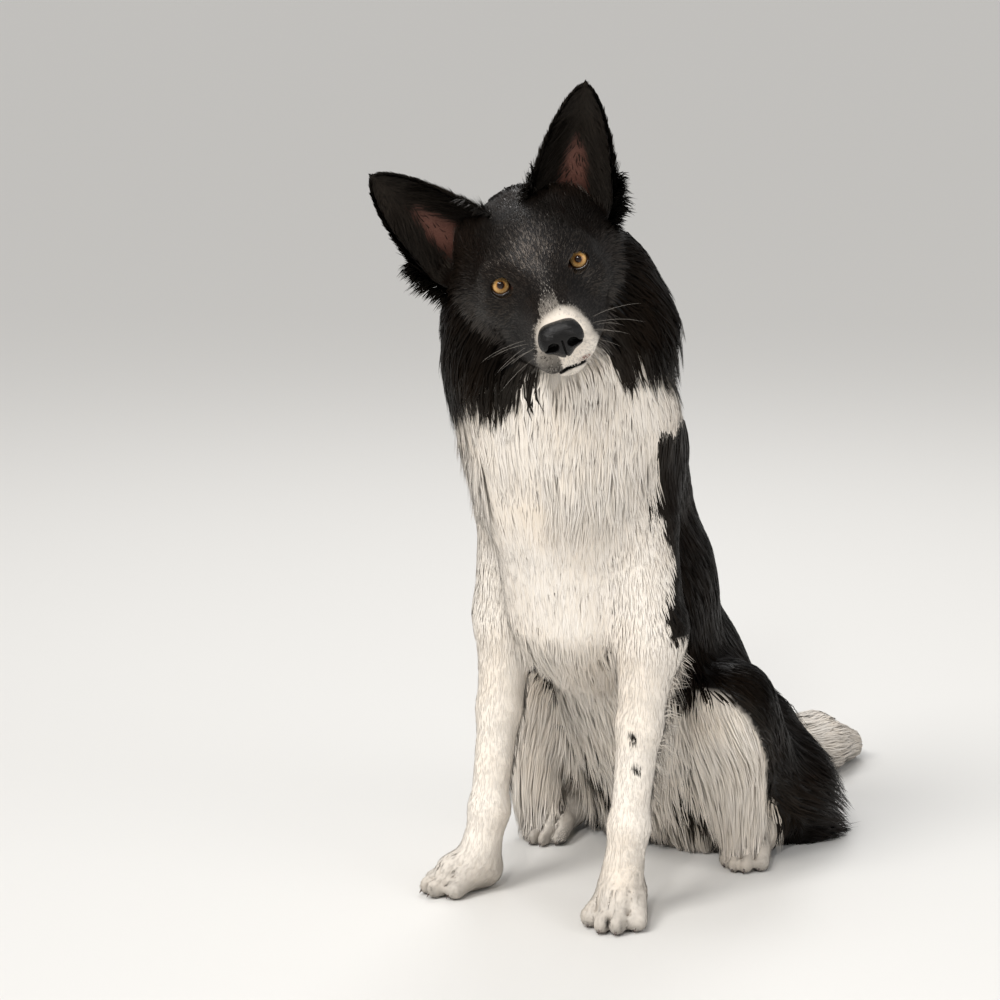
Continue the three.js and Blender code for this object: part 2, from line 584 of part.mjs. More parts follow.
function buildBody() {
  const mesh = thin(meshOf(bodyField, [-200, -120, -20], [200, 740, 660], BODY_CELL), BODY_TRIANGLES);
  let solid = solidOfField(mesh);
  solid = solid.subtract(region([900, 1700, 100], [0, 0, -100])(0));
  solid = solid.subtract(headRegion(headMatrix)(CUT));
  const nodes = {};
  [nodes.neck, solid] = split(solid, region([500, 500, 400], [0, 95, 452], [33, 0, 0]));
  let tail;
  [tail, solid] = split(solid, region([300, 500, 300], [0, 418 + 250, -20]));
  [nodes.tail_tip, nodes.tail_base] = split(tail, region([300, 500, 300], [0, 560 + 250, -20]));
  for (const [side, s] of Object.entries(SIDES)) {
    let leg;
    [leg, solid] = split(solid, region([200, 240, 284], [s * 150, 20, -20]));
    [nodes["front_paw_" + side], nodes["forearm_" + side]] = split(leg, region([400, 400, 78], [0, 0, -20]));
    [nodes["upper_arm_" + side], solid] = split(solid, region([200, 180, 140], [s * 158, 62, 264 + CUT]));
    [leg, solid] = split(solid, region([200, 290, 270], [s * 156, 305, -20]));
    let lower;
    [lower, nodes["thigh_" + side]] = split(leg, region([400, 300, 96], [0, 170, -20]));
    [nodes["hind_paw_" + side], nodes["lower_leg_" + side]] = split(lower, region([400, 200, 96], [0, 172, -20]));
  }
  for (const claw of claws) nodes[claw.name] = nodes[claw.name].add(clawSolid(claw));
  [nodes.chest, solid] = split(solid, region([500, 900, 500], [0, 185, 232], [38, 0, 0]));
  [nodes.rump, nodes.belly] = split(solid, region([500, 400, 500], [0, 318 + 200, -60]));
  return nodes;
}

// ---- locks of long hair -------------------------------------------------------------------
function outward(p, coat) {
  const step = 1.5;
  return v3(
    field(p.x + step, p.y, p.z, coat) - field(p.x - step, p.y, p.z, coat),
    field(p.x, p.y + step, p.z, coat) - field(p.x, p.y - step, p.z, coat),
    field(p.x, p.y, p.z + step, coat) - field(p.x, p.y, p.z - step, coat),
  ).normalize();
}

// The middle line of a lock: it leaves the skin, bends to the lie of the coat and keeps to its surface,
// and its last part hangs free where cling is small
function lockLine(start, { flow, length, cling = 1, lift = 1 }) {
  const stations = [];
  const p = start.clone();
  const swing = random(-0.35, 0.35);
  let along = null;
  for (let k = 0; k < 4; k++) {
    const coat = [CORE, 0.62, 0.86, 1][k];
    const n = outward(p, coat);
    const lie = flow(p, n).normalize();
    const aside = lie.clone().cross(n).normalize();
    const tangent = lie.clone().addScaledVector(n, -lie.dot(n) * cling).normalize();
    along = tangent.addScaledVector(aside, swing * (k - 1)).normalize();
    if (k > 0) p.addScaledVector(along, length * [0, 0.3, 0.36, 0.34][k]);
    const height = [-5, lift, 1.6 * lift, 3 * lift][k] - field(p.x, p.y, p.z, coat);
    const hold = k < 2 ? 1 : k === 2 ? cling : cling * cling;
    p.addScaledVector(outward(p, coat), height * hold);
    stations.push({ p: p.clone(), n, aside: along.clone().cross(n).normalize() });
  }
  return stations;
}

// A lock that stands free of the skin and droops to one side, such as the fringe of an ear
function freeLine(start, direction, length, droop) {
  const along = direction.clone().normalize();
  const n = along.clone().cross(droop).normalize();
  const p = start.clone().addScaledVector(along, -5);
  const stations = [];
  for (const share of [0, 0.36, 0.36, 0.34]) {
    p.addScaledVector(along, length * share);
    along.addScaledVector(droop, share * random(0.4, 1.1)).normalize();
    stations.push({ p: p.clone(), n, aside: along.clone().cross(n).normalize() });
  }
  return stations;
}

// The fringe of an ear grows from both edges near its root, and long hair crosses its hollow
function earFringe({ inner, outer, tip }) {
  const { root, axis, aside, back, half } = earFrame({ inner, outer, tip });
  const lines = [];
  for (const [edge, u, length] of [
    [-1, 0.06, 36], [-1, 0.2, 32], [-1, 0.33, 26], [1, 0, 36], [1, 0.13, 34], [1, 0.27, 28],
  ]) {
    const start = root.clone().addScaledVector(axis, u).addScaledVector(aside, edge * half * (1 - u) ** 0.72 * 0.96);
    const direction = axis.clone().normalize().addScaledVector(aside, edge * random(0.2, 0.45)).addScaledVector(back, random(-0.3, 0.2));
    lines.push({ start, direction, length: length * random(0.85, 1.15), droop: aside.clone().multiplyScalar(edge * 0.8) });
  }
  for (const u of [0.12, 0.3]) {
    const start = root.clone().addScaledVector(axis, u).addScaledVector(aside, -half * (1 - u) ** 0.72 * 0.9);
    const direction = axis.clone().normalize().addScaledVector(aside, 0.5).addScaledVector(back, -0.1);
    lines.push({ start, direction, length: 36, droop: aside.clone().multiplyScalar(0.4) });
  }
  return lines.map((l) => ({ line: freeLine(l.start, l.direction, l.length, l.droop), width: 9, thickness: 3.6 }));
}

// A flat, tapered lock of diamond section along its middle line
function lockSolid(stations, width, thickness) {
  const points = [];
  const faces = [[0, 2, 1], [0, 3, 2]];
  for (let k = 0; k < 3; k++) {
    const { p, n, aside } = stations[k];
    const w = width * [0.2, 0.5, 0.36][k];
    const t = thickness * [0.2, 0.5, 0.4][k];
    for (const [a, b] of [[w, 0], [0, t], [-w, 0], [0, -t]])
      points.push(...p.clone().addScaledVector(aside, a).addScaledVector(n, b).toArray());
    for (let i = 0; i < 4 && k < 2; i++) {
      const [a, b] = [k * 4 + i, k * 4 + ((i + 1) % 4)];
      faces.push([a, b, b + 4], [a, b + 4, a + 4]);
    }
  }
  points.push(...stations[3].p.toArray());
  for (let i = 0; i < 4; i++) faces.push([8 + i, 8 + ((i + 1) % 4), 12]);
  const solid = solidFrom(points, faces.flat());
  return solid.volume() > 0 ? solid : solidFrom(points, faces.map((f) => [...f].reverse()).flat());
}

// Places for locks on a node's own coat, no closer together than spacing
function rootsOn(solid, { where, spacing, tries = 1400 }) {
  const geometry = geometryOf(solid).toNonIndexed();
  const at = geometry.attributes.position;
  const corners = [v3(0, 0, 0), v3(0, 0, 0), v3(0, 0, 0)];
  const areas = [];
  let total = 0;
  for (let i = 0; i < at.count; i += 3) {
    corners.forEach((c, k) => c.fromBufferAttribute(at, i + k));
    total += new THREE.Triangle(...corners).getArea();
    areas.push(total);
  }
  const roots = [];
  for (let t = 0; t < tries; t++) {
    const pick = random(0, total);
    const i = 3 * areas.findIndex((sum) => sum >= pick);
    corners.forEach((c, k) => c.fromBufferAttribute(at, i + k));
    const [a, b] = [random(), random()].sort();
    const p = v3(0, 0, 0).addScaledVector(corners[0], a).addScaledVector(corners[1], b - a).addScaledVector(corners[2], 1 - b);
    if (Math.abs(field(p.x, p.y, p.z, CORE)) > 2.5) continue;
    const h = p.clone().applyMatrix4(toHead);
    if (!where(p, outward(p, CORE), h)) continue;
    if (roots.every((r) => r.distanceTo(p) > spacing)) roots.push(p);
  }
  return roots;
}

const side = (p) => Math.sign(p.x);
const COATS = {
  neck: [
    { where: (p, n, h) => n.y < 0.75 && p.z < 575, spacing: 39, length: 80, width: 33,
      flow: (p, n) => v3(n.x * 0.5, 0.1 + n.y * 0.3, -1) },
    { where: (p, n, h) => n.y >= 0.75, spacing: 48, length: 70, width: 34, flow: () => v3(0, 0.6, -1) },
  ],
  chest: [
    { where: (p, n) => p.y < 118 && p.z > 236 && n.y < 0 && p.z < 432, spacing: 38, length: 84, width: 31,
      flow: (p, n) => v3(n.x * 0.3, 0, -1) },
    { where: (p, n) => p.z <= 240 && n.z < 0.1 && p.y < 215, spacing: 30, length: 70, width: 24, cling: 0.5,
      flow: (p) => v3(side(p) * 0.12, 0.1, -1) },
  ],
  belly: [
    { where: (p, n) => p.z > 100 && n.z < 0.1, spacing: 40, length: 66, width: 24, cling: 0.5,
      flow: (p) => v3(side(p) * 0.12, 0.1, -1) },
    { where: (p, n) => p.z <= 100 && n.y < 0.2 && p.z > 20, spacing: 38, length: 58, width: 24, cling: 0.7,
      flow: (p, n) => v3(n.x * 0.4, -0.1, -1) },
  ],
  upper_arm: [
    { where: (p, n) => n.y > 0.1 && p.z < 330, spacing: 26, length: 64, width: 20, cling: 0.55,
      flow: (p, n) => v3(n.x * 0.6, 0.75, -1) },
  ],
  forearm: [
    { where: (p, n) => n.y > 0.55 && p.z > 112, spacing: 30, length: 48, width: 18, cling: 0.3,
      flow: (p, n) => v3(n.x * 0.3, 0.55, -1) },
  ],
  thigh: [
    { where: (p, n) => p.y > 290 && (n.y > 0.05 || p.y > 330) && p.z < 190 && p.z > 14, spacing: 38, length: 78, width: 30, cling: 0.62,
      flow: (p, n) => v3(n.x * 0.7, 1, -0.75) },
    { where: (p, n) => p.y < 285 && p.z < 130 && p.z > 30, spacing: 32, length: 66, width: 20, cling: 0.9, lift: 3,
      flow: (p, n) => v3(n.x * 0.2, 0.35, -1) },
  ],
  tail_base: [
    { where: (p) => p.z > 10, spacing: 42, length: 84, width: 32, cling: 0.9, flow: () => v3(0.12, 1, -0.15) },
  ],
  tail_tip: [
    { where: (p) => p.z > 8 && p.y < 660, spacing: 34, length: 78, width: 27, cling: 0.9, flow: () => v3(0.2, 1, -0.12) },
  ],
  head: [
    { where: (p, n, h) => Math.abs(h.x) > 46 && h.z < 16 && h.y > 22 && n.y < 0.9, spacing: 27, length: 66, width: 24,
      cling: 0.8, flow: (p, n) => v3(n.x * 0.9, n.y * 0.4 + 0.1, -1) },
  ],
};

// Moves every face of a solid outwards by a distance, so that a cut with it leaves a gap.
// Each corner goes to the spot that lies nearest to that distance from all the faces round it.
function grown(solid, distance) {
  const mesh = solid.getMesh();
  const places = [];
  for (let v = 0; v < mesh.numVert; v++) places.push(v3(...mesh.vertProperties.subarray(v * mesh.numProp, v * mesh.numProp + 3)));
  const sums = places.map(() => new Float64Array(9));
  for (let i = 0; i < mesh.triVerts.length; i += 3) {
    const ring = [...mesh.triVerts.subarray(i, i + 3)];
    const { x, y, z } = new THREE.Triangle(...ring.map((v) => places[v])).getNormal(v3(0, 0, 0));
    for (const v of ring) [x * x, x * y, x * z, y * y, y * z, z * z, x, y, z].forEach((w, k) => (sums[v][k] += w));
  }
  const moved = places.flatMap((p, v) => {
    const [xx, xy, xz, yy, yz, zz, x, y, z] = sums[v];
    const steady = 0.02;
    const inverse = new THREE.Matrix3().set(xx + steady, xy, xz, xy, yy + steady, yz, xz, yz, zz + steady).invert();
    const step = v3(x, y, z).multiplyScalar(distance).applyMatrix3(inverse).clampLength(0, 2.5 * distance);
    return p.add(step).toArray();
  });
  return solidFrom(moved, mesh.triVerts);
}

function touching(a, b) {
  const [p, q] = [a.boundingBox(), b.boundingBox()];
  return [0, 1, 2].every((i) => p.min[i] < q.max[i] + 1 && q.min[i] < p.max[i] + 1);
}

// Grows the locks of every node, clear of the other nodes and of the locks laid before them
function addLocks(nodes) {
  const bare = { ...nodes };
  const laid = [];
  for (const [name, solid] of Object.entries(bare)) {
    const coats = COATS[name.replace(/_(left|right)$/, "")];
    if (!coats) continue;
    const lines = coats.flatMap((coat) =>
      rootsOn(solid, coat).map((root) => {
        const scale = random(0.8, 1.2);
        return {
          line: lockLine(root, { ...coat, length: coat.length * scale }),
          width: coat.width * random(0.8, 1.2),
          thickness: coat.width * 0.3,
        };
      }),
    );
    if (!lines.length) continue;
    let locks = wasm.Manifold.union(lines.map((l) => lockSolid(l.line, l.width, l.thickness)));
    for (const [other, flesh] of Object.entries(bare))
      if (other !== name && touching(flesh, locks)) locks = locks.subtract(grown(flesh, LOCK_GAP));
    for (const before of laid) if (touching(before, locks)) locks = locks.subtract(before);
    locks = locks.subtract(region([900, 1700, 100], [0, 300, -100])(0));
    nodes[name] = largest(solid.add(locks));
    laid.push(grown(nodes[name], LOCK_GAP));
  }
  return nodes;
}

// ---- the group ----------------------------------------------------------------------------
const pieces = addLocks({ ...buildHead(), ...buildBody() });

const WHITE = [0.86, 0.84, 0.8];
const BLACK = [0.025, 0.024, 0.026];
const COLOURS = {
  head: BLACK, ear: BLACK, thigh: BLACK, nose: [0.02, 0.018, 0.018], eye: [0.45, 0.22, 0.06], tail_base: BLACK,
};

const dog = new THREE.Group();
for (const [name, solid] of Object.entries(pieces)) {
  const colour = COLOURS[name.replace(/_(left|right)$/, "")] ?? WHITE;
  const material = new THREE.MeshStandardMaterial({ color: new THREE.Color(...colour), roughness: 0.8 });
  const mesh = new THREE.Mesh(geometryOf(tidied(solid)), material);
  mesh.name = name;
  dog.add(mesh);
}

// The model stands on the origin, under the middle of its box
const box = new THREE.Box3().setFromObject(dog);
const middle = box.getCenter(v3(0, 0, 0));
dog.position.set(-middle.x, -middle.y, -box.min.z);
const group = new THREE.Group();
group.add(dog);
export default group;
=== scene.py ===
# %% [markdown]
# # A sitting sheepdog
# This lesson dresses a life-size model of a black and white sheepdog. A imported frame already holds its
# solids at their real size. Here they get a smooth skin, eyes, a nose, claws and a coat of hair.
# Everything is worked out in millimetres in the dog's own frame, and put in the row's frame in metres.

# %% Frame
import json
import math
from types import SimpleNamespace

import bpy
import numpy as np
import openvdb
from mathutils import Matrix, Vector
from mathutils.kdtree import KDTree

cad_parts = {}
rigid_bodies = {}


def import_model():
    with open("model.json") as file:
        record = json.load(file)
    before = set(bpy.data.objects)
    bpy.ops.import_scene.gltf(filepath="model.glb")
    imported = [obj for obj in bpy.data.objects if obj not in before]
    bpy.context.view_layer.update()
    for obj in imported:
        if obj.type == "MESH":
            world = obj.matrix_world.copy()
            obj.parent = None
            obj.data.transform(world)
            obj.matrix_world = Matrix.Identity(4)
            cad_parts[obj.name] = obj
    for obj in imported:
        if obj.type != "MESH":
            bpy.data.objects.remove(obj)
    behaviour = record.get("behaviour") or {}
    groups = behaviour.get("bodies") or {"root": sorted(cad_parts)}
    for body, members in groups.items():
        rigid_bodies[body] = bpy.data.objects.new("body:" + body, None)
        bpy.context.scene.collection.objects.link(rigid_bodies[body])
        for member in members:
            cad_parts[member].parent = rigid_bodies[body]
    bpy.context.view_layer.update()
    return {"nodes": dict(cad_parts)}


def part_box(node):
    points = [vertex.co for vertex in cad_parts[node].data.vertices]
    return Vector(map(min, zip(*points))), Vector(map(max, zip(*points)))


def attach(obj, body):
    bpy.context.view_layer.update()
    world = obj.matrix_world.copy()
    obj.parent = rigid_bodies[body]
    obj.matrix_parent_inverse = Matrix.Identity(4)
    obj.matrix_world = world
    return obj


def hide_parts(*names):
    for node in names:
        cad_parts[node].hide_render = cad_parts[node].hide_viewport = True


for left_over in list(bpy.data.objects):
    bpy.data.objects.remove(left_over)
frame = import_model()
rng = np.random.default_rng(7)

# %% [markdown]
# ## Two frames
# The head is turned, tilted and tipped on the neck, so it is far easier to shape it as if it looked
# straight ahead. These helpers go between the head's own frame and the dog's. The dog's frame is then
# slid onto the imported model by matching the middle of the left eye. Every array of points and of
# directions here has one row for each.

# %% The head's frame and the row's frame
HEAD_YAW, HEAD_PITCH, HEAD_ROLL = 36, 11, -19  # degrees
HEAD_PLACE = np.array([30.0, -36.0, 611.0])  # the head's origin in the dog's frame
EYE_PLACE = np.array([36.0, -4.0, 1.5])  # the left eye, in the head's frame
EYE_RADIUS = 11
SIDES = (1, "left"), (-1, "right")


def turn(axis, degrees):
    return np.array(Matrix.Rotation(math.radians(degrees), 3, axis))


HEAD_TURN = turn("Z", HEAD_YAW) @ turn("X", HEAD_PITCH) @ turn("Y", HEAD_ROLL)


def unit(vectors, least=0.0):
    """Rows brought to length one. With a least length, a row of zeros stays zero."""
    return vectors / (np.linalg.norm(vectors, axis=1, keepdims=True) + least)


def away_from(points, centre, radii):
    """How far points lie from a centre, where 1 is the surface of an ellipsoid of those radii."""
    return np.linalg.norm((points - centre) / radii, axis=1)


def to_head(points):
    return (points - HEAD_PLACE) @ HEAD_TURN


def from_head(points):
    return np.asarray(points, float) @ HEAD_TURN.T + HEAD_PLACE


eye_box = [np.array(corner) * 1000 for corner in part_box("eye_left")]
SHIFT = (eye_box[0] + eye_box[1]) / 2 - from_head(EYE_PLACE)


def to_row(points):
    return (np.asarray(points, float) + SHIFT) / 1000


print("shift of the dog's frame, mm:", SHIFT.round(2))

# %% [markdown]
# ## The masses of the body
# Under the hair a dog is a set of rounded masses laid along its bones. Each one here is a rounded cone
# with its own depth of coat and the lie of its hair, and they melt into each other. A body could also be
# sculpted by hand, but masses in numbers can be read at any point, and every tuft of hair has to do that.
# The same masses shape the solids, so the skin and the coat fit inside them.

# %% Masses
masses = []


def mass(part, lie, a, ra, ca, *end, shape=(1, 1, 1), blend=20, head=False):
    """A rounded cone from a, of radius ra under a coat ca deep, to an end like it. Its hair lies along lie."""
    b, rb, cb = end or (a, ra, ca)
    a, b, shape, lie = (np.array(values, float) for values in (a, b, shape, lie))
    lie = lie / np.linalg.norm(lie)
    reach = (b - a) / shape
    masses.append(SimpleNamespace(
        part=part, lie=HEAD_TURN @ lie if head else lie, a=a, b=b, ra=ra, rb=rb, ca=ca, cb=cb, shape=shape,
        reach=reach, square=float(reach @ reach), low=float(shape.min()), blend=blend, head=head))


def chain(part, lie, stations, blends, **settings):
    """Masses end to end through stations, each a place, a radius and a depth of coat."""
    for start, end, blend in zip(stations, stations[1:], blends):
        mass(part, lie, *start, *end, blend=blend, **settings)


def trunk():
    chain("back", (0, 0.5, -0.9), [((0, 104, 380), 74, 14), ((0, 174, 284), 84, 14), ((0, 252, 184), 72, 14)],
          (36, 36), shape=(0.84, 1, 1))
    mass("back", (0, 0.5, -0.9), (0, 272, 172), 68, 14, (0, 322, 104), 66, 16, shape=(0.96, 1, 1), blend=36)
    mass("chest", (0, 0.05, -1), (0, 62, 368), 43, 22, (0, 92, 290), 48, 24, blend=24)
    mass("back", (0, 0.5, -0.9), (0, 138, 442), 34, 14, (0, 184, 394), 48, 10, blend=36)
    mass("belly", (0, -0.05, -1), (0, 200, 200), 56, 20, (0, 268, 112), 56, 24, blend=30)
    for s in (1, -1):
        mass("belly", (s * 0.2, -0.2, -1), (s * 30, 285, 70), 34, 26, (s * 34, 292, 44), 28, 28, blend=26)


def neck():
    mass("neck", (0, 0.2, -1), (0, 108, 432), 76, 18, (-10, 44, 572), 55, 22, blend=30)
    mass("neck", (0, -0.05, -1), (0, 62, 432), 56, 34, (0, 26, 514), 48, 36, blend=30)
    mass("neck", (0.25, 0.1, -1), (42, 76, 474), 31, 28, (38, 48, 540), 30, 26, blend=30)
    mass("neck", (-0.25, 0.1, -1), (-52, 74, 472), 35, 30, (-50, 48, 530), 31, 28, blend=30)


claws = []
furrows = []


def paw(side, heel, bearing, length, width):
    angle = math.radians(bearing) * side

    def at(across, ahead, up):
        return (heel[0] + across * math.cos(angle) + ahead * math.sin(angle),
                heel[1] + across * math.sin(angle) - ahead * math.cos(angle), up)

    ahead = (math.sin(angle), -math.cos(angle), -0.35)
    mass("paw", ahead, at(0, 2, 18), width * 0.3, 3,
         at(0, length * 0.48, width * 0.33), width * 0.35, 3, blend=12)
    for across, reach in ((-0.36, 0.8), (-0.125, 1), (0.125, 1), (0.36, 0.8)):
        tip = length * reach - width * 0.17
        mass("paw", ahead, at(across * width * 0.62, length * 0.3, width * 0.34), width * 0.17, 2.5,
             at(across * width * 1.06, tip, width * 0.17), width * 0.15, 1.5, blend=4)
        root = np.array(at(across * width * 1.08, tip + width * 0.12, 10))
        claws.append(SimpleNamespace(root=root, turn=angle))
    for across in (-0.245, 0, 0.245):
        middle = np.array(at(across * width * 1.02, length * 0.92, 12))
        furrows.append(SimpleNamespace(middle=middle, angle=angle, half=length * 0.42))


def foreleg(s, shoulder, elbow, wrist, heel, bearing, length, width):
    chain("shoulder", (0, 0.25, -1),
          [((s * 44, 108, 418), 30, 10), (shoulder, 37, 9), (elbow, 27, 7)], (20, 12))
    mass("foreleg", (0, 0.8, -1), (elbow[0] + s * 4, elbow[1] + 15, elbow[2] + 6), 16, 5,
         (elbow[0], elbow[1] + 4, elbow[2] - 20), 17, 6, blend=16)
    middle = tuple(0.5 * (p + q) for p, q in zip(elbow, wrist))
    mass("foreleg", (0, 0.15, -1), elbow, 24, 7, middle, 16.5, 4, blend=16)
    mass("foreleg", (0, 0.1, -1), middle, 16.5, 4, wrist, 14.5, 3, blend=12)
    mass("foreleg", (0, 0, -1), (wrist[0], wrist[1] + 2, wrist[2] - 4), 13.5, 3, blend=14)
    mass("foreleg", (0, -0.3, -1), (wrist[0], wrist[1], wrist[2] - 8), 14, 3,
         (heel[0], heel[1] - 12, 30), 18.5, 3, blend=12)
    paw(s, heel, bearing, length, width)


def hindleg(s, hip, knee, hock, heel, bearing, drape):
    mass("thigh", (s * 0.6, 0.5, -0.7), hip, 56, 12, knee, 27, 10, shape=(0.76, 1, 1), blend=30)
    mass("thigh", (s * 0.25, 0.9, -0.7), (s * 56, 336, 92), 44, 22, (s * 92, 346, 56), 28, 26, blend=30)
    mass("thigh", (s * 0.3, 0.7, -0.8), (s * 92, 346, 56), 28, 26, (s * 103, 356, 20), 12, 26, blend=20)
    mass("thigh", (s * 0.05, -0.1, -1), (knee[0] + s * drape, knee[1] + 2, knee[2] - 40), 17, 14,
         (heel[0] + s * drape, heel[1] - 26, 52), 13, 14, blend=24)
    mass("thigh", (s * 0.8, 0.5, -0.6), knee, 30, 10, hock, 18, 8, blend=24)
    mass("shank", (0, -0.4, -0.8), (hock[0], hock[1], hock[2] - 4), 16, 8,
         (heel[0], heel[1] + 18, 24), 15, 5, blend=12)
    paw(s, heel, bearing, 60, 46)


def tail():
    stations = [((0, 372, 84), 24, 20), ((4, 470, 44), 17, 24), ((20, 588, 30), 12, 24), ((32, 650, 18), 5, 15)]
    chain("tail", (0.12, 1, -0.12), stations, (26, 16, 16))


def head():
    def form(part, lie, blend, *ends, shape=(1, 1, 1)):
        mass(part, lie, *ends, shape=shape, blend=blend, head=True)

    form("face", (0, 1, 0.4), 30, (0, 52, 12), 43.5, 5, shape=(1.12, 1.2, 0.84))
    form("face", (0, 0.8, 0.7), 24, (0, 14, 10), 34, 4, shape=(1.05, 1, 0.86))
    form("ruff", (0, 0.5, -1), 24, (0, 94, 16), 28, 10, (0, 104, 0), 34, 14)
    form("face", (0, 1, 0), 24, (0, -4, -20), 32, 3, (0, -76, -35), 23.5, 2, shape=(1.02, 1, 0.92))
    form("face", (0, 1, 0.3), 14, (0, -4, 2), 12, 2, (0, -84, -19), 11, 2, shape=(1.1, 1, 1))
    form("face", (0, 1, -0.4), 12, (0, -71, -61), 12, 3, (0, 10, -64), 24, 6, shape=(1.1, 1, 0.9))
    form("ruff", (0, 0.35, -1), 24, (0, 56, -58), 34, 18, shape=(1.1, 1, 1))
    for s in (1, -1):
        form("ruff", (s * 0.35, 0.35, -1), 22, (s * 48, 60, -46), 30, 22, (s * 54, 62, -92), 28, 27)
        form("face", (s * 0.4, 0.6, 0.7), 10, (s * 19, -4, 12), 14, 3, (s * 37, 4, 12), 12, 3)
        form("face", (s * 0.3, 1, -0.4), 22, (s * 36, 2, -18), 18, 4, (s * 41, 50, -14), 26, 9)
        form("ruff", (s * 0.3, 0.6, -0.8), 18, (s * 34, 50, -34), 27, 12)
        droop = 5 if s < 0 else 1
        form("face", (0, 1, -0.35), 12, (s * 12.5, -76, -43 - droop), 14.5, 2,
             (s * 26, -14, -45 - droop), 17, 4)
        form("face", (s * 0.4, 0.2, 1), 22, (s * 30, 64, 24), 14, 6, (s * 46, 74, 22), 13, 6)
        form("lid", (s * 0.5, 1, 0), 6, (s * EYE_PLACE[0], *EYE_PLACE[1:]), 13.2, 0)


trunk()
neck()
foreleg(1, (55, 84, 374), (80, 84, 268), (79, 48, 92), (72, 58, 0), 14, 72, 58)
foreleg(-1, (-53, 84, 374), (-76, 90, 266), (-77, 54, 84), (-84, 58, 0), 28, 68, 53)
hindleg(1, (50, 282, 120), (106, 214, 170), (106, 336, 48), (103, 274, 0), 8, -6)
hindleg(-1, (-50, 282, 120), (-106, 210, 174), (-108, 322, 48), (-104, 248, 0), 0, 16)
tail()
head()
print("masses:", len(masses))

# %% [markdown]
# ## The field
# The field gives the distance from any point to the surface of the coat, at any level from the skin
# (0) to the tips (1). Read on a grid it becomes a mesh, and read at single points it tells a hair how
# far it stands off the body.

# %% Reading the field
SKIN = 0.8  # the modelled skin lies some way up the coat, so that the hair covers it
FAR = 1e3  # the field before any mass, at single points, in millimetres
OUTSIDE = 60.0  # the same on a grid
FURROW_TOP = 60  # the furrows between the toes lie below this height


def one_mass(m, x, y, z, level):
    """The distance to one mass at a level of its coat, and the depth of that coat."""
    px, py, pz = (x - m.a[0]) / m.shape[0], (y - m.a[1]) / m.shape[1], (z - m.a[2]) / m.shape[2]
    if m.square > 0:
        t = np.clip((px * m.reach[0] + py * m.reach[1] + pz * m.reach[2]) / m.square, 0, 1)
    else:
        t = 0.0
    away = np.sqrt((px - t * m.reach[0]) ** 2 + (py - t * m.reach[1]) ** 2 + (pz - t * m.reach[2]) ** 2)
    hair = m.ca + (m.cb - m.ca) * t
    return (away - m.ra - (m.rb - m.ra) * t - level * hair) * m.low, hair


def melt(d, one, blend):
    """Joins two distances with a soft fillet."""
    mix = np.maximum(blend - np.abs(d - one), 0) / blend
    return np.minimum(d, one) - mix * mix * blend * 0.25


def carve(d, tool, blend):
    """Takes a tool away from a solid, with a soft edge."""
    return -melt(-d, tool, blend)


def furrowed(d, x, y, z):
    """Draws the narrow furrows between the toes."""
    for f in furrows:
        across = (x - f.middle[0]) * math.cos(f.angle) + (y - f.middle[1]) * math.sin(f.angle)
        ahead = (x - f.middle[0]) * math.sin(f.angle) - (y - f.middle[1]) * math.cos(f.angle)
        slit = np.maximum(np.maximum(np.abs(across) - 1.0, np.abs(ahead) - f.half),
                          np.maximum(-d - 4.5, z - 44))
        d = carve(d, slit, 3)
    return d


def field(points, level):
    """Distance from points to the coat's surface at a level."""
    own = points.T
    turned = to_head(points).T
    d = np.full(len(points), FAR)
    for m in masses:
        one, _ = one_mass(m, *(turned if m.head else own), level)
        d = melt(d, one, m.blend)
    low = own[2] < FURROW_TOP
    if low.any():
        d[low] = furrowed(d[low], *own[:, low])
    return d


def field_and_normal(points, level):
    d = field(points, level)
    slope = np.stack([field(points + step, level) - d for step in np.eye(3)], 1)
    return d, unit(slope, 1e-9)


def grid_in_head(x, y, z):
    """A grid's places in the dog's frame as the head's own coordinates."""
    return [sum((axis - HEAD_PLACE[i]) * HEAD_TURN[i, k] for i, axis in enumerate((x, y, z)))
            for k in range(3)]


def open_grid(*axes):
    return np.meshgrid(*axes, indexing="ij", sparse=True)


def field_grid(low, high, cell):
    """The skin's field on a grid between two corners, each mass read only where it reaches."""
    axes = [np.arange(low[i], high[i] + cell, cell) for i in range(3)]
    d = np.full([len(axis) for axis in axes], OUTSIDE, np.float32)
    for m in masses:
        ends = np.array([m.a, m.b])
        ends = from_head(ends) if m.head else ends
        reach = max(m.ra, m.rb) * m.shape.max() + SKIN * max(m.ca, m.cb) + m.blend + 3 * cell
        spans = [np.searchsorted(axes[i], (ends[:, i].min() - reach, ends[:, i].max() + reach))
                 for i in range(3)]
        if any(first == last for first, last in spans):
            continue
        place = tuple(slice(*span) for span in spans)
        x, y, z = open_grid(*[axes[i][place[i]] for i in range(3)])
        if m.head:
            x, y, z = grid_in_head(x, y, z)
        one, _ = one_mass(m, x, y, z, SKIN)
        d[place] = melt(d[place], one, m.blend)
    low = axes[2] < FURROW_TOP
    if low.any():
        d[:, :, low] = furrowed(d[:, :, low], *open_grid(axes[0], axes[1], axes[2][low]))
    return axes, d


def facing_out(points, faces, middle=0):
    """The same triangles, wound so that they face away from the middle."""
    a, b, c = (points[faces[:, k]] - middle for k in range(3))
    return faces if np.einsum("ij,ij->i", a, np.cross(b, c)).sum() > 0 else faces[:, ::-1]


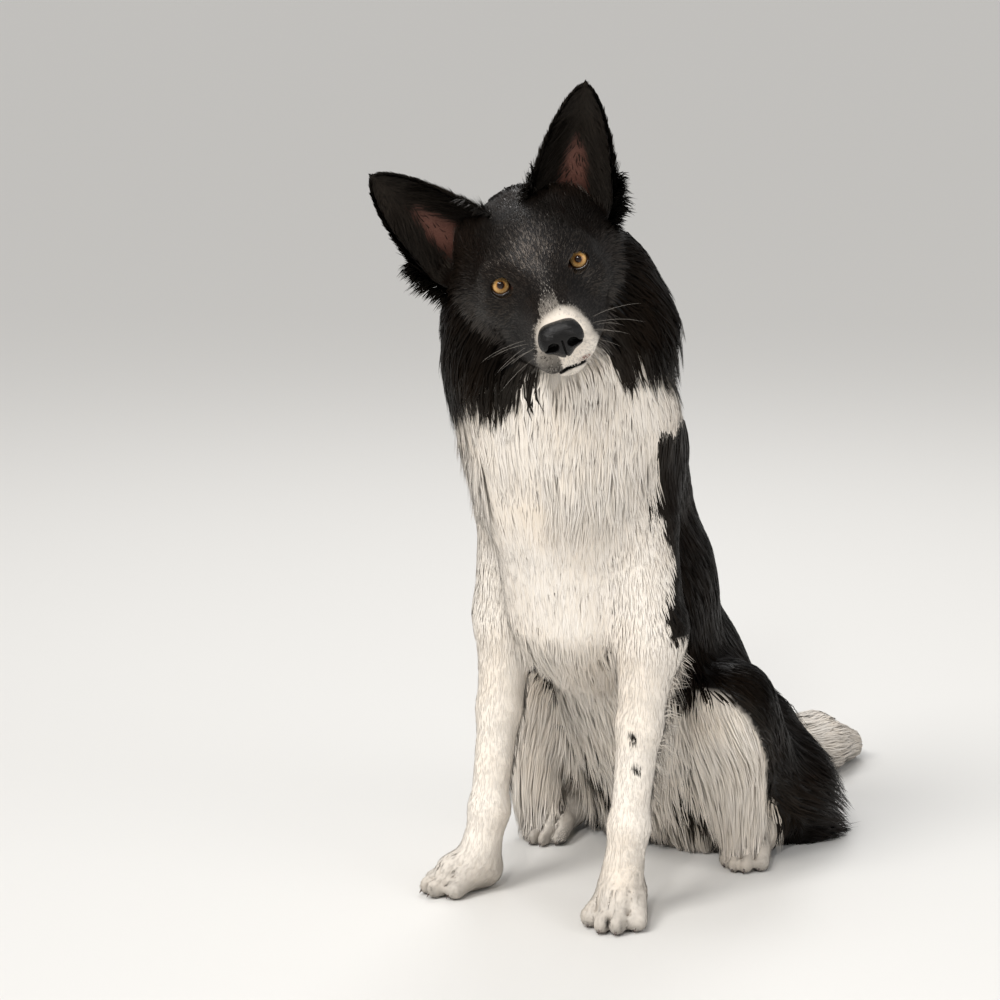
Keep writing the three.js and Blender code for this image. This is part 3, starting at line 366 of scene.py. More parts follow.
def surface_of(axes, d, adaptivity=0.0):
    """The zero surface of a grid as points and triangles that face outwards."""
    grid = openvdb.FloatGrid(OUTSIDE)
    grid.copyFromArray(np.ascontiguousarray(d, np.float32))
    points, triangles, quads = grid.convertToPolygons(isovalue=0.0, adaptivity=adaptivity)
    cell = axes[0][1] - axes[0][0]
    points = points.astype(float) * cell + [axis[0] for axis in axes]
    faces = np.concatenate([triangles.reshape(-1, 3), quads[:, [0, 1, 2]], quads[:, [0, 2, 3]]])
    return points, facing_out(points, faces.astype(np.int64))


places = np.array([[0.0, 30, 340], [0, 0, 900]])
print("field at the breast and above the head:", field(places, 1).round(1))

# %% [markdown]
# ## Meshes from arrays
# Skin and hair come as long arrays of points and faces. Writing them into a mesh in one go is far
# quicker than adding faces one by one.

# %% A mesh from arrays
def add_object(name, data):
    made = bpy.data.objects.new(name, data)
    bpy.context.scene.collection.objects.link(made)
    return made


def mesh_object(name, points, faces):
    mesh = bpy.data.meshes.new(name)
    mesh.vertices.add(len(points))
    mesh.vertices.foreach_set("co", to_row(points).astype(np.float32).ravel())
    mesh.loops.add(faces.size)
    mesh.loops.foreach_set("vertex_index", faces.ravel().astype(np.int32))
    mesh.polygons.add(len(faces))
    mesh.polygons.foreach_set("loop_start", np.arange(0, faces.size, faces.shape[1], dtype=np.int32))
    mesh.polygons.foreach_set("use_smooth", np.full(len(faces), True))
    mesh.update(calc_edges=True)
    return add_object(name, mesh)


def points_of(piece):
    """A piece's own points, in millimetres."""
    return np.array([vertex.co for vertex in piece.data.vertices], float) * 1000


def set_attribute(piece, name, values):
    attribute = piece.data.attributes.new(name, "FLOAT", "POINT")
    attribute.data.foreach_set("value", np.asarray(values, np.float32))


def select_only(piece):
    bpy.ops.object.select_all(action="DESELECT")
    bpy.context.view_layer.objects.active = piece
    piece.select_set(True)


def face_outwards(piece):
    select_only(piece)
    bpy.ops.object.mode_set(mode="EDIT")
    bpy.ops.mesh.select_all(action="SELECT")
    bpy.ops.mesh.normals_make_consistent(inside=False)
    bpy.ops.object.mode_set(mode="OBJECT")


print("mesh helpers ready")

# %% [markdown]
# ## Markings
# A sheepdog's white runs from the muzzle over the throat, chest, collar, legs and belly to the tip of
# the tail. The rest is black. It could be painted on the mesh by hand, but then skin and hair would each
# need their own paint. Here one function gives the share of white at any place on the body, and both the
# skin and the hair that grows from it ask that function, so their borders agree.

# %% Where the dog is white
def line_of_mouth(hx, hy):
    """The height of the line of the mouth in the head's frame, lower where the right lip hangs."""
    line = np.interp(hy, [-135, -100, -70, -42, -16], [-58, -60, -65, -61, -53])
    return line - 5 * np.clip((-hx - 4) / 12, 0, 1)


RIPPLES = unit(rng.normal(size=(9, 3)))
PHASES = rng.uniform(0, 2 * math.pi, 9)


def ripple(points, size):
    """A soft random pattern of about that size in millimetres, from -1 to 1."""
    total = 0
    for k, (way, phase) in enumerate(zip(RIPPLES, PHASES)):
        total = total + np.sin(points @ way * (2 * math.pi / (size * (0.7 + 0.1 * k))) + phase + k)
    return np.clip(total / 3, -1, 1)


BORDER = 9  # millimetres over which white turns to black
ALL_WHITE = -30  # a distance far on the white side of any border
HEAD_FOOT = 486  # the markings of the head hold above this height
SPOTS = [((85, 43, 177), 3.5), ((90, 42, 146), 4), ((106, 3, 18), 4), ((70, 40, 205), 2), ((92, 52, 118), 2),
         ((-88, 36, 150), 2.5), ((-70, 34, 190), 2), ((-104, -8, 12), 3.5), ((88, -6, 12), 3)]


def white_share(points, normals):
    """How white the coat is at points of the body, from 0 to 1."""
    x, y, z = points.T
    hx, hy, hz = to_head(points).T
    side = np.abs(x)
    wobble = 4 * ripple(points, 60) + 3 * ripple(points, 17)
    # the black saddle behind a border that runs down the flank, further back on the right
    saddle = y - np.interp(z, [262, 291, 312, 339, 385, 414, 440], [60, 66, 78, 80, 66, 54, 60])
    saddle = saddle - np.where(x < 0, 14, 0)
    saddle = np.minimum(saddle, np.interp(x, [-36, 36], [458, 474]) - z)
    under = (normals[:, 1] < -0.3) & (side < 70)
    black = np.where(under, ALL_WHITE, saddle)
    # the haunch, black outside and white inside, and the white foreleg in front of it
    haunch = y - np.interp(z, [20, 34, 60, 102, 138, 168, 190, 200], [290, 285, 280, 241, 206, 184, 178, 160])
    inner = (normals[:, 0] * np.sign(x) < -0.1) | (side < 62)
    haunch = np.where(inner & (y < 330), ALL_WHITE, haunch)
    haunch = np.where((side > 62) & (y > 140), np.maximum(haunch, z - 194), haunch)
    black = np.where(z < 262, haunch, black)
    black = np.where((y < 150 - np.maximum(z - 222, 0)) & (z < 268), ALL_WHITE, black)
    # the black rear between the haunches, and the tail with its white end
    rear = np.minimum(y - 250, 60 * (normals[:, 1] + 0.15))
    black = np.where((y > 150) & (z < 268) & ((side < 62) | (y > 300)), np.maximum(black, rear), black)
    black = np.where(y > 392, 412 - y, black)
    # the head: the crown over the throat and the chin, with a white ring round the nose
    border = np.where(hx < 0, 512 + 0.1 * (60 + x), 534 + 0.12 * (x - 60))
    crown = z - border
    throat = np.maximum(hx - 30, hz + np.interp(hx, [-60, -30, -14, 0, 30], [106, 98, 88, 80, 80]))
    crown = np.where(hy < 48, np.minimum(crown, throat), crown)
    nose = np.sqrt((hx + 0.5) ** 2 + (hy + 97) ** 2 + (hz + 29) ** 2)  # the distance from the nose
    ring = np.interp(hx, [-25, -15, 0, 10, 20, 27, 31], [25, 23, 25, 28, 31, 33, 33])
    ring = ring + np.clip((-hz - 38) / 16, 0, 1) * np.where(hx > 0, 20, 14)
    crown = np.minimum(crown, nose - ring)
    chin = np.maximum(hz + 62, hy + 10)
    crown = np.minimum(crown, np.maximum(chin, np.abs(hx - 4) - 26))
    crown_wobble = np.where(nose < 80, wobble * 0.2, wobble)
    head_black = (crown + crown_wobble) / BORDER
    # grey ticking: a thin blaze up the nose, and the lower right of the muzzle
    middle = np.interp(hy, [-80, -52, -29, -14, 0], [-2, 2, 6, 9, 10])
    blaze = np.abs(hx - middle) - np.interp(hy, [-80, -64, -46, -20, 0], [9, 5, 3, 2.2, 0])
    blaze = np.where((hz > -24) & (hy < 0), blaze, 9)
    faint = np.interp(hy, [-78, -60, -30, 0], [0.02, 0.2, 0.42, 0.7])
    head_black = np.minimum(head_black, np.maximum(blaze, 0) / 3 + faint)
    ticked = (hx < -7) & (hz < -34) & (hz > line_of_mouth(hx, hy)) & (nose < 60)
    ticks = np.interp(hz, [-60, -46, -34], [0.12, -0.04, -0.2])
    head_black = np.where(ticked & (head_black < 0.1), ticks, head_black)
    flew = (hx < -11) & (hz < -59) & (hz > line_of_mouth(hx, hy) - 1) & (hy < 0)
    head_black = np.where(flew, np.maximum(head_black, 0.25 + 0.5 * ripple(points, 5)), head_black)
    # the groin is dappled
    body_black = (black + wobble) / BORDER
    groin = (y > 150) & (y < 330) & (z < 130) & (side < 85)
    body_black = np.where(groin, np.maximum(body_black, 0.5 * ripple(points, 34) - 0.35), body_black)
    share = np.where(z > HEAD_FOOT, head_black, body_black)
    white = 1 / (1 + np.exp(np.clip(share * 3, -30, 30)))
    # small spots on the legs
    for place, radius in SPOTS:
        away = np.linalg.norm(points - place, axis=1)
        white = np.minimum(white, np.clip((away - radius) / 2 + 0.5, 0, 1))
    return white


def dust_and_painted_shade(points):
    """The share of its colour the coat of the feet keeps, less towards the floor: partly dust and partly
    painted shade, since less light reaches low down.
    """
    return np.interp(points[:, 2] + 6 * ripple(points, 40), [0, 15, 60], [0.42, 0.66, 1])


places, facing = np.array([[0.0, 30, 340], [0, 200, 420]]), np.array([[0.0, -1, 0], [0, 1, 0]])
print("share of white, breast and back:", white_share(places, facing).round(2))

# %% [markdown]
# ## The skin
# One closed skin replaces all the nodes of flesh, so no seam shows where they are parted. Balls joined by
# a modifier would leave creases, and the field gives soft fillets. The body is read on a coarse grid and
# the head on a fine one, because its lids and lips are small. At the neck each sinks under the other, so
# the outside runs on. The lids bulge over the eyeballs, an almond is cut through them, and a groove is
# drawn for the mouth.

# %% Skin
BODY_GRID = (-215, -145, -14), (215, 715, 690), 3.6  # low corner, high corner and cell
HEAD_GRID = (-150, -175, 440), (215, 130, 745), 1.4
SOLE = 0.4  # height of the underside of the skin
NECK_PLACE = np.array([0.0, 75.0, -84.0])  # where head and body part, in the head's frame
NECK_SLOPE = math.radians(20)


def above_neck(hy, hz):
    """How far a place lies above the sloping border between body and head."""
    return (hz - NECK_PLACE[2]) * math.cos(NECK_SLOPE) - (hy - NECK_PLACE[1]) * math.sin(NECK_SLOPE)


def sink(depth):
    """Lets a surface slope away gently past its border, and then close off."""
    past = np.maximum(depth, 0)
    return 0.25 * past + 3 * np.maximum(past - 14, 0)


def cut_at_floor(axes, d):
    return np.maximum(d, SOLE - axes[2])


def ellipsoid(x, y, z, centre, radii, power=2):
    """Roughly the distance to an ellipsoid, boxier with a greater power."""
    scaled = sum((np.abs(axis - middle) / radius) ** power
                 for axis, middle, radius in zip((x, y, z), centre, radii))
    return (scaled ** (1 / power) - 1) * min(radii)


axes, d = field_grid(*BODY_GRID)
hx, hy, hz = grid_in_head(*open_grid(*axes))
body_points, body_faces = surface_of(axes, cut_at_floor(axes, d + sink(above_neck(hy, hz))), 0.004)

axes, d = field_grid(*HEAD_GRID)
hx, hy, hz = grid_in_head(*open_grid(*axes))
for s in (1, -1):
    eye = EYE_PLACE * (s, 1, 1)
    opening = ellipsoid(hx, hy, hz, (eye[0] - 0.5 * s, eye[1] - 16.5, eye[2] + 2.3), (10.2, 15, 8.6))
    d = carve(d, opening, 1.5)
    from_eye = np.sqrt((hx - eye[0]) ** 2 + (hy - eye[1]) ** 2 + (hz - eye[2]) ** 2)
    d = np.maximum(d, EYE_RADIUS + 0.3 - from_eye)  # a little room round the eyeball
groove = np.maximum(np.maximum(np.abs(hz - line_of_mouth(hx, hy)) - 1.6, hy + 18), -d - 3.5)
d = carve(d, groove, 2)
d = d + sink(-above_neck(hy, hz))
head_points, head_faces = surface_of(axes, d, 0.002)

skin_points = np.concatenate([body_points, head_points])
skin_faces = np.concatenate([body_faces, head_faces + len(body_points)])
print("skin: body", len(body_faces), "head", len(head_faces), "triangles")

# %% [markdown]
# ## The ears
# Each ear is a leathery cup that opens forwards, wide at its root and drawn to a point. The field would
# make its edges too thick, so it is worked out from where its edges and tip lie on the head, as a grid of
# points that runs from root to tip and from edge to edge. The hair on the ear is rooted on the same grid.

# %% Ears
# the inner and the outer end of the root and the tip of each ear, in the head's frame
EARS = {1: ((17, 60, 58), (79, 60, 10), (91, 70, 129)),
        -1: ((-32, 60, 52), (-89, 60, -4), (-114, 70, 112))}


def ear_surface(s, u, v, skin):
    """Points of an ear: u from root (0) to tip (1), v from edge (-1) to edge (1), skin in from the back."""
    inner, outer, tip = (np.array(p, float) for p in EARS[s])
    root = (inner + outer) / 2
    axis = tip - root
    across = outer - inner
    half = np.linalg.norm(across) * 0.49
    aside = across - axis * (across @ axis) / (axis @ axis)
    aside /= np.linalg.norm(aside)
    back = np.cross(axis, aside)
    back *= np.sign(back[1]) / np.linalg.norm(back)
    u, v = np.asarray(u, float), np.asarray(v, float)
    drawn = np.maximum(1 - np.maximum(u, 0), 0.0004) ** 0.6 * (1 + 0.35 * u)
    width = half * np.where(u < 0, 1 + 0.6 * u, drawn)
    opened = np.radians(84 - 46 * np.clip(u, 0, 1))
    radius = width / np.sin(opened)
    angle = opened * v
    deep = radius - np.minimum(skin, radius * 0.5)
    points = root + axis * u[:, None] + aside * (deep * np.sin(angle))[:, None]
    points = points + back * (deep * np.cos(angle) - radius * np.cos(opened))[:, None]
    return from_head(points)


def ear_shell(s, rows=30, columns=19):
    """The closed shell of an ear: its points, its triangles and how bare each point is."""
    u = np.append(np.linspace(-0.35, 0.9, rows - 4), [0.94, 0.965, 0.985, 0.996])
    v = np.linspace(-1, 1, columns)
    grid_u, grid_v = (g.ravel() for g in np.meshgrid(u, v, indexing="ij"))
    thick = 3.6 - 2 * np.clip(grid_u, 0, 1)
    thick = thick * (1 - 0.55 * np.abs(grid_v) ** 6)
    points = np.concatenate([ear_surface(s, grid_u, grid_v, 0), ear_surface(s, grid_u, grid_v, thick)])
    ring = np.concatenate([np.arange(columns), rows * columns + np.arange(columns)[::-1]])
    faces = []
    for r in range(rows - 1):
        first = ring + r * columns
        after = np.roll(first, -1)
        faces += [np.stack([first, after, after + columns], 1),
                  np.stack([first, after + columns, first + columns], 1)]
    for r, way in ((0, -1), (rows - 1, 1)):
        top = np.arange(columns - 1) + r * columns
        low = top + rows * columns
        faces += [np.stack([top, top + 1, low + 1], 1)[:, ::way],
                  np.stack([top, low + 1, low], 1)[:, ::way]]
    faces = facing_out(points, np.concatenate(faces), points[0])
    hollow = np.clip(1.7 - 1.7 * np.hypot((grid_u - 0.24) / 0.4, grid_v / 0.5), 0, 1)
    return points, faces, np.concatenate([0 * hollow, hollow])


bare = np.zeros(len(skin_points))
for s in (1, -1):
    ear_points, ear_faces, hollow = ear_shell(s)
    bare = np.append(bare, hollow)
    skin_faces = np.concatenate([skin_faces, ear_faces + len(skin_points)])
    skin_points = np.concatenate([skin_points, ear_points])
skin = mesh_object("skin", skin_points, skin_faces)
_, skin_normals = field_and_normal(skin_points, SKIN)
skin_white = white_share(skin_points, skin_normals)
ear_place = np.arange(len(skin_points)) >= len(body_points) + len(head_points)
skin_white[ear_place] = 0
in_head = to_head(skin_points)
hx, hy, hz = in_head.T
on_lips = (np.abs(hz - line_of_mouth(hx, hy)) < 1.9) & (hy < -18)
under_nose = away_from(in_head, (-0.5, -97, -30), (17, 14, 15)) < 1
skin_white[(on_lips | under_nose) & ~ear_place] = 0
pink_lip = 0.9 * np.clip(2.2 - 2 * away_from(in_head, (14, -88, -57), (7, 9, 4)), 0, 1)
bare[~ear_place] = pink_lip[~ear_place]
for s in (1, -1):
    corner = 0.55 * np.clip(2.2 - 2 * away_from(in_head, (s * 23.5, -13, -1), (5, 9, 4)), 0, 1)
    bare = np.where(ear_place, bare, np.maximum(bare, corner))
skin_white = np.clip(skin_white * 1.6 - 0.6, 0, 1)
# the skin of the feet is darkened towards the floor, partly as dust and partly as painted shade
set_attribute(skin, "white", skin_white * dust_and_painted_shade(skin_points))
set_attribute(skin, "bare", bare)
print("skin:", len(skin_points), "points", len(skin_faces), "triangles")

# %% [markdown]
# ## A map of the skin
# When the model is exported, each tuft takes its colour from a small patch of a picture. A plain copy of
# the skin is unwrapped once, and every tuft's patch is laid at its root's own place on that map.

# %% Unwrapping a plain copy of the skin
MAP_GRID = (-215, -145, -14), (215, 715, 700), 8
axes, d = field_grid(*MAP_GRID)
map_points, map_faces = surface_of(axes, cut_at_floor(axes, d))
plan = mesh_object("plan", map_points, map_faces)
select_only(plan)
plan.data.uv_layers.new(name="OFBake")
bpy.ops.object.mode_set(mode="EDIT")
bpy.ops.mesh.select_all(action="SELECT")
bpy.ops.uv.smart_project(angle_limit=math.radians(66), island_margin=0.004)
bpy.ops.object.mode_set(mode="OBJECT")
flat = np.empty(len(plan.data.loops) * 2, np.float32)
plan.data.uv_layers[0].data.foreach_get("uv", flat)
loop_vertex = np.empty(len(plan.data.loops), np.int32)
plan.data.loops.foreach_get("vertex_index", loop_vertex)
map_uv = flat.reshape(-1, 3, 2).astype(float)
map_corners = map_points[loop_vertex].reshape(-1, 3, 3)
bpy.data.objects.remove(plan)
print("map:", len(map_corners), "triangles up to", map_uv.max((0, 1)).round(3))

# %% [markdown]
# ## Roots
# Hair is rooted at random all over the skin, more densely where it is short. Each root is slid onto the
# skin, and reads the depth and the lie of the coat from the masses near it, so the lie turns gently from
# one part of the body to the next.

# %% Roots on the skin
# tufts to the square centimetre
DENSITY = dict(face=30, ruff=13, lid=30, neck=12, chest=12, shoulder=14, back=8.2, belly=9.2,
               foreleg=15, paw=18, thigh=8.5, shank=11, tail=8.5)
PARTS = list(DENSITY)
FULLNESS = 1.0
TURNING = 9  # millimetres over which the lie turns from one mass to the next


def coat_at(points):
    """The part, the depth of coat and the lie at points of the skin."""
    turned = to_head(points).T
    own = points.T
    away = np.empty((len(masses), len(points)), np.float32)
    depth = np.empty_like(away)
    for i, m in enumerate(masses):
        away[i], depth[i] = one_mass(m, *(turned if m.head else own), SKIN)
    nearest = away.argmin(0)
    weight = np.exp(-(away - away.min(0)) / TURNING)
    weight /= weight.sum(0)
    lie = weight.T @ np.array([m.lie for m in masses])
    part = np.array([PARTS.index(m.part) for m in masses])[nearest]
    return part, (weight * depth).sum(0), lie


def tangent(direction, normals):
    flat = direction - normals * np.einsum("ij,ij->i", direction, normals)[:, None]
    return unit(flat, 1e-9)


edges = map_corners[:, 1:] - map_corners[:, :1]
areas = np.linalg.norm(np.cross(edges[:, 0], edges[:, 1]), axis=1) / 200  # in square centimetres
part_of_face, _, _ = coat_at(map_corners.mean(1))
wanted = areas * np.array([FULLNESS * DENSITY[name] for name in PARTS])[part_of_face]
count = int(wanted.sum())
pick = rng.choice(len(wanted), count, p=wanted / wanted.sum())
share = rng.random((count, 2))
share[share.sum(1) > 1] = 1 - share[share.sum(1) > 1]
corner_share = np.column_stack([1 - share.sum(1), share])
roots = np.einsum("ij,ijk->ik", corner_share, map_corners[pick])
root_uv = np.einsum("ij,ijk->ik", corner_share, map_uv[pick])
for _ in range(2):
    off, root_normals = field_and_normal(roots, SKIN)
    roots = roots - root_normals * off[:, None]
_, root_normals = field_and_normal(roots, SKIN)
root_part, root_depth, root_lie = coat_at(roots)
root_white = white_share(roots, root_normals)
print("roots:", count, {name: int((root_part == i).sum()) for i, name in enumerate(PARTS)})

# %% [markdown]
# ## Growing a tuft
# A dog has far too many hairs to make each one, so a tuft stands for a lock of them. It is a thin closed
# blade, flat outside and ridged beneath, widest below its middle and drawn to a point. It leaves the skin,
# bends over to the lie of the coat and keeps to the coat's own surface, and its last part may hang free.
# Neighbouring tufts lean together at their tips, as hair does. All tufts of a part are worked out at once
# and joined in one mesh, because thousands of objects would be slow.

# %% Growing tufts
PATCH = 0.003  # width of a tuft's patch on the map
ROOTED = 1.2  # how far the root of a tuft sits in the skin
DOWN = np.array([0, 0, -1])


def gather(paths, reach, pull):
    """Draws each tuft's tip towards the tip of a leader near it."""
    starts = paths[0]
    order = rng.permutation(len(starts))
    tree = KDTree(len(starts))
    for i, p in enumerate(starts):
        tree.insert(p, i)
    tree.balance()
    leader = np.full(len(starts), -1)
    for i in order:
        if leader[i] < 0:
            for _, j, _ in tree.find_range(starts[i], reach):
                if leader[j] < 0:
                    leader[j] = i
    for k in range(1, len(paths)):
        part_way = (k / (len(paths) - 1)) ** 1.4 * pull
        target = paths[k][leader] + (starts - starts[leader]) * 0.25
        paths[k] += (target - paths[k]) * part_way
    return paths


def paths_of(start, normal, lie, length, tip, coat):
    """The stations of many tufts of a coat at once, from root to tip. A small rise brings them up soon."""
    points = start - normal * ROOTED
    paths = [points]
    normals = [normal]
    along = tangent(lie, normal)
    aside = np.cross(along, normal)
    bend = rng.normal(0, coat.sway, len(start))
    lift = rng.uniform(0.15, 0.5, len(start))
    along = along * np.cos(lift)[:, None] + normal * np.sin(lift)[:, None]
    steps = coat.stations - 1
    for k in range(1, coat.stations):
        part_way = k / steps
        points = points + along * (length / steps)[:, None]
        level = SKIN + (tip - SKIN) * part_way ** coat.rise
        off, n = field_and_normal(points, level)
        hold = coat.cling ** max(k - 1, 0.5)
        points = points - n * (off * np.where(off < 0, 1, hold))[:, None]
        along = tangent(lie + aside * (bend * part_way * 1.6)[:, None], n)
        along = unit(along * coat.cling + lie * (1 - coat.cling) + DOWN * coat.droop)
        paths.append(points)
        normals.append(n)
    return paths, normals


def tufts(name, paths, normals, uv, white, width, thick, material, uneven=0.14, lean=0.3):
    """Joins many tufts in one mesh, each with its patch on the map and its own shade.

    Light falls on them as on the rounded coat they lie in, a little unevenly, so hair looks soft.
    """
    rings, many = len(paths) - 1, len(paths[0])
    size = 3 * rings + 1
    white, width, thick = (np.full(many, value) for value in (white, width, thick))
    points, shine = np.empty((many, size, 3)), np.empty((many, size, 3))
    along_at, across_at = np.zeros(size), np.zeros(size)
    roll = rng.normal(0, uneven, many)[:, None]
    cos, sin = np.cos(roll), np.sin(roll)
    tilt = rng.normal(0, uneven, (many, 3))
    profile = np.interp(np.linspace(0, 1, rings + 1)[:-1], [0, 0.3, 0.7, 1], [0.7, 1, 0.85, 0.4])
    for k in range(rings):
        forward = unit(paths[k + 1] - paths[k], 1e-9)
        aside = unit(np.cross(forward, normals[k]), 1e-9)
        up = np.cross(aside, forward)
        aside, up = aside * cos + up * sin, up * cos - aside * sin
        half = (width * profile[k] / 2)[:, None]
        points[:, 3 * k] = paths[k] - aside * half
        points[:, 3 * k + 1] = paths[k] + aside * half
        points[:, 3 * k + 2] = paths[k] - up * (thick * profile[k])[:, None]
        soft = normals[k] + tilt
        for i, way in enumerate((-lean, lean, 0.0)):
            shine[:, 3 * k + i] = soft + aside * way
        along_at[3 * k:3 * k + 3] = k / rings
        across_at[3 * k:3 * k + 3] = (0, 1, 0.5)
    points[:, -1], shine[:, -1] = paths[-1], soft
    along_at[-1], across_at[-1] = 1, 0.5
    faces = [(0, 1, 2)]
    for k in range(rings - 1):
        for i in range(3):
            a, b = 3 * k + i, 3 * k + (i + 1) % 3
            faces += [(a, a + 3, b + 3), (a, b + 3, b)]
    last = 3 * (rings - 1)
    faces += [(last + i, last + 3, last + (i + 1) % 3) for i in range(3)]
    faces = np.array(faces)
    root, left, right = points[0, faces[0]]
    if np.cross(left - root, right - root) @ (paths[1][0] - paths[0][0]) > 0:
        faces = faces[:, ::-1]
    all_faces = (faces[None] + size * np.arange(many)[:, None, None]).reshape(-1, 3)
    piece = mesh_object(name, points.reshape(-1, 3), all_faces)
    set_attribute(piece, "white", np.repeat(white, size))
    set_attribute(piece, "along", np.tile(along_at, many))
    set_attribute(piece, "strand", np.repeat(rng.random(many), size))
    patch = np.stack([across_at, along_at], 1) * PATCH - PATCH / 2
    uv_points = (uv[:, None] + patch[None]).reshape(-1, 2)
    layer = piece.data.uv_layers.new(name="OFBake")
    layer.data.foreach_set("uv", uv_points[all_faces.ravel()].astype(np.float32).ravel())
    piece.data.normals_split_custom_set_from_vertices(unit(shine.reshape(-1, 3)).tolist())
    piece.data.materials.append(material)
    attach(piece, "root")
    print(f"{name}: {many} tufts, {len(all_faces)} triangles")


print("tufts are ready to grow")

# %% [markdown]
# ## Finishes
# A real coat is never one flat black or white: roots are duller, tips catch the light, and the shade
# drifts over the body. Hair and skin share one shade group for that. It mixes the black and the white
# coat by the markings, darkens each tuft towards its root, and varies it from strand to strand and, more
# softly, over the body. The group gives a colour and a roughness. The shaders stay in the materials.

# %% Node helpers and the shared shade group
def give(tree, socket, value):
    """Feeds one input from another node's socket or with a constant."""
    if isinstance(value, bpy.types.NodeSocket):
        tree.links.new(value, socket)
    else:
        socket.default_value = value


def feed(tree, node, **values):
    """Feeds a node's inputs by name."""
    for name, value in values.items():
        give(tree, node.inputs[name.replace("_", " ")], value)


def put(tree, kind, place, **settings):
    """Adds a node and sets its properties, or feeds its inputs."""
    made = tree.nodes.new(kind)
    made.location = place
    for name, value in settings.items():
        if hasattr(made, name):
            setattr(made, name, value)
        else:
            feed(tree, made, **{name: value})
    return made


def texture(tree, kind, place, **settings):
    """A texture laid over the object in its own coordinates."""
    spot = put(tree, "ShaderNodeTexCoord", (place[0] - 200, place[1]))
    return put(tree, f"ShaderNodeTex{kind}", place, Vector=spot.outputs["Object"], **settings).outputs


def blend_colours(tree, place, share, first, second):
    """A mix of two colours or sockets by a share."""
    made = put(tree, "ShaderNodeMix", place, data_type="RGBA")
    for number, value in ((0, share), (6, first), (7, second)):
        give(tree, made.inputs[number], value)
    return made.outputs[2]


def reckon(tree, place, operation, first, second):
    """A sum, a power or the like of two values or sockets."""
    made = put(tree, "ShaderNodeMath", place, operation=operation)
    give(tree, made.inputs[0], first)
    give(tree, made.inputs[1], second)
    return made.outputs[0]


def stretch(tree, place, source, low=0, high=1, to_low=0, to_high=1):
    """Stretches a value from low..high to to_low..to_high."""
    return put(tree, "ShaderNodeMapRange", place, Value=source, From_Min=low, From_Max=high,
               To_Min=to_low, To_Max=to_high).outputs["Result"]


def hair_shade():
    group = bpy.data.node_groups.new("hair shade", "ShaderNodeTree")
    for name in ("White", "Along", "Strand"):
        group.interface.new_socket(name=name, in_out="INPUT", socket_type="NodeSocketFloat")
    group.interface.new_socket(name="Color", in_out="OUTPUT", socket_type="NodeSocketColor")
    group.interface.new_socket(name="Roughness", in_out="OUTPUT", socket_type="NodeSocketFloat")
    given = put(group, "NodeGroupInput", (-900, 0)).outputs
    broad = texture(group, "Noise", (-900, -300), Scale=14.0, Detail=2.0)
    patchy = stretch(group, (-700, -300), broad["Fac"], 0.38, 0.68)
    black_root = blend_colours(group, (-500, 100), given["Strand"],
                               (0.0016, 0.0013, 0.0012, 1), (0.0045, 0.0034, 0.0028, 1))
    black_tip = blend_colours(group, (-500, -50), patchy,
                              (0.0032, 0.0022, 0.0016, 1), (0.0095, 0.0052, 0.0027, 1))
    black = blend_colours(group, (-250, 50), given["Along"], black_root, black_tip)
    white_tip = blend_colours(group, (-500, -350), given["Strand"],
                              (0.90, 0.85, 0.79, 1), (0.86, 0.79, 0.70, 1))
    white_root = blend_colours(group, (-500, -500), patchy,
                               (0.85, 0.77, 0.67, 1), (0.81, 0.70, 0.57, 1))
    rise = reckon(group, (-500, -200), "POWER", given["Along"], 0.6)
    white = blend_colours(group, (-250, -400), rise, white_root, white_tip)
    cream = blend_colours(group, (-250, -600), 0.12, white, (0.72, 0.55, 0.38, 1))
    white = blend_colours(group, (-50, -400), patchy, white, cream)
    put(group, "NodeGroupOutput", (700, 0),
        Color=blend_colours(group, (200, 0), given["White"], black, white),
        Roughness=stretch(group, (200, -300), given["White"], 0, 1, 0.38, 0.62))
    return group


HAIR_SHADE = hair_shade()


def new_material(name):
    made = bpy.data.materials.new(name)
    made.use_nodes = True
    return made, made.node_tree, made.node_tree.nodes["Principled BSDF"]


def attribute_of(tree, place, name):
    return put(tree, "ShaderNodeAttribute", place, attribute_name=name).outputs["Fac"]


def hair_material(name, specular, tint):
    made, tree, shader = new_material(name)
    white, along, strand = (attribute_of(tree, (-600, -200 * k), attribute)
                            for k, attribute in enumerate(("white", "along", "strand")))
    shade = put(tree, "ShaderNodeGroup", (-300, 0), node_tree=HAIR_SHADE,
                White=white, Along=along, Strand=strand).outputs
    feed(tree, shader, Base_Color=shade["Color"], Roughness=shade["Roughness"],
         Specular_IOR_Level=specular, Specular_Tint=tint)
    return made


BLACK_HAIR = hair_material("black hair", 0.055, (1, 0.8, 0.6, 1))
SHORT_BLACK_HAIR = hair_material("short black hair", 0.5, (1, 0.88, 0.78, 1))
WHITE_HAIR = hair_material("white hair", 0.2, (1, 1, 1, 1))


def skin_material():
    made, tree, shader = new_material("skin and undercoat")
    grain = texture(tree, "Noise", (-900, -300), Scale=900.0, Detail=2.0)["Fac"]
    strand = stretch(tree, (-700, -300), grain, 0.3, 0.8)
    shade = put(tree, "ShaderNodeGroup", (-500, 0), node_tree=HAIR_SHADE,
                White=attribute_of(tree, (-900, 0), "white"), Along=strand, Strand=strand).outputs
    leather = blend_colours(tree, (-500, -300), grain, (0.085, 0.034, 0.025, 1), (0.27, 0.125, 0.095, 1))
    bare_place = attribute_of(tree, (-500, -500), "bare")
    bump = put(tree, "ShaderNodeBump", (-250, -300), Strength=0.5, Distance=0.0008, Height=grain)
    feed(tree, shader, Base_Color=blend_colours(tree, (-250, 0), bare_place, shade["Color"], leather),
         Roughness=shade["Roughness"], Normal=bump.outputs["Normal"], Specular_IOR_Level=0.16)
    return made


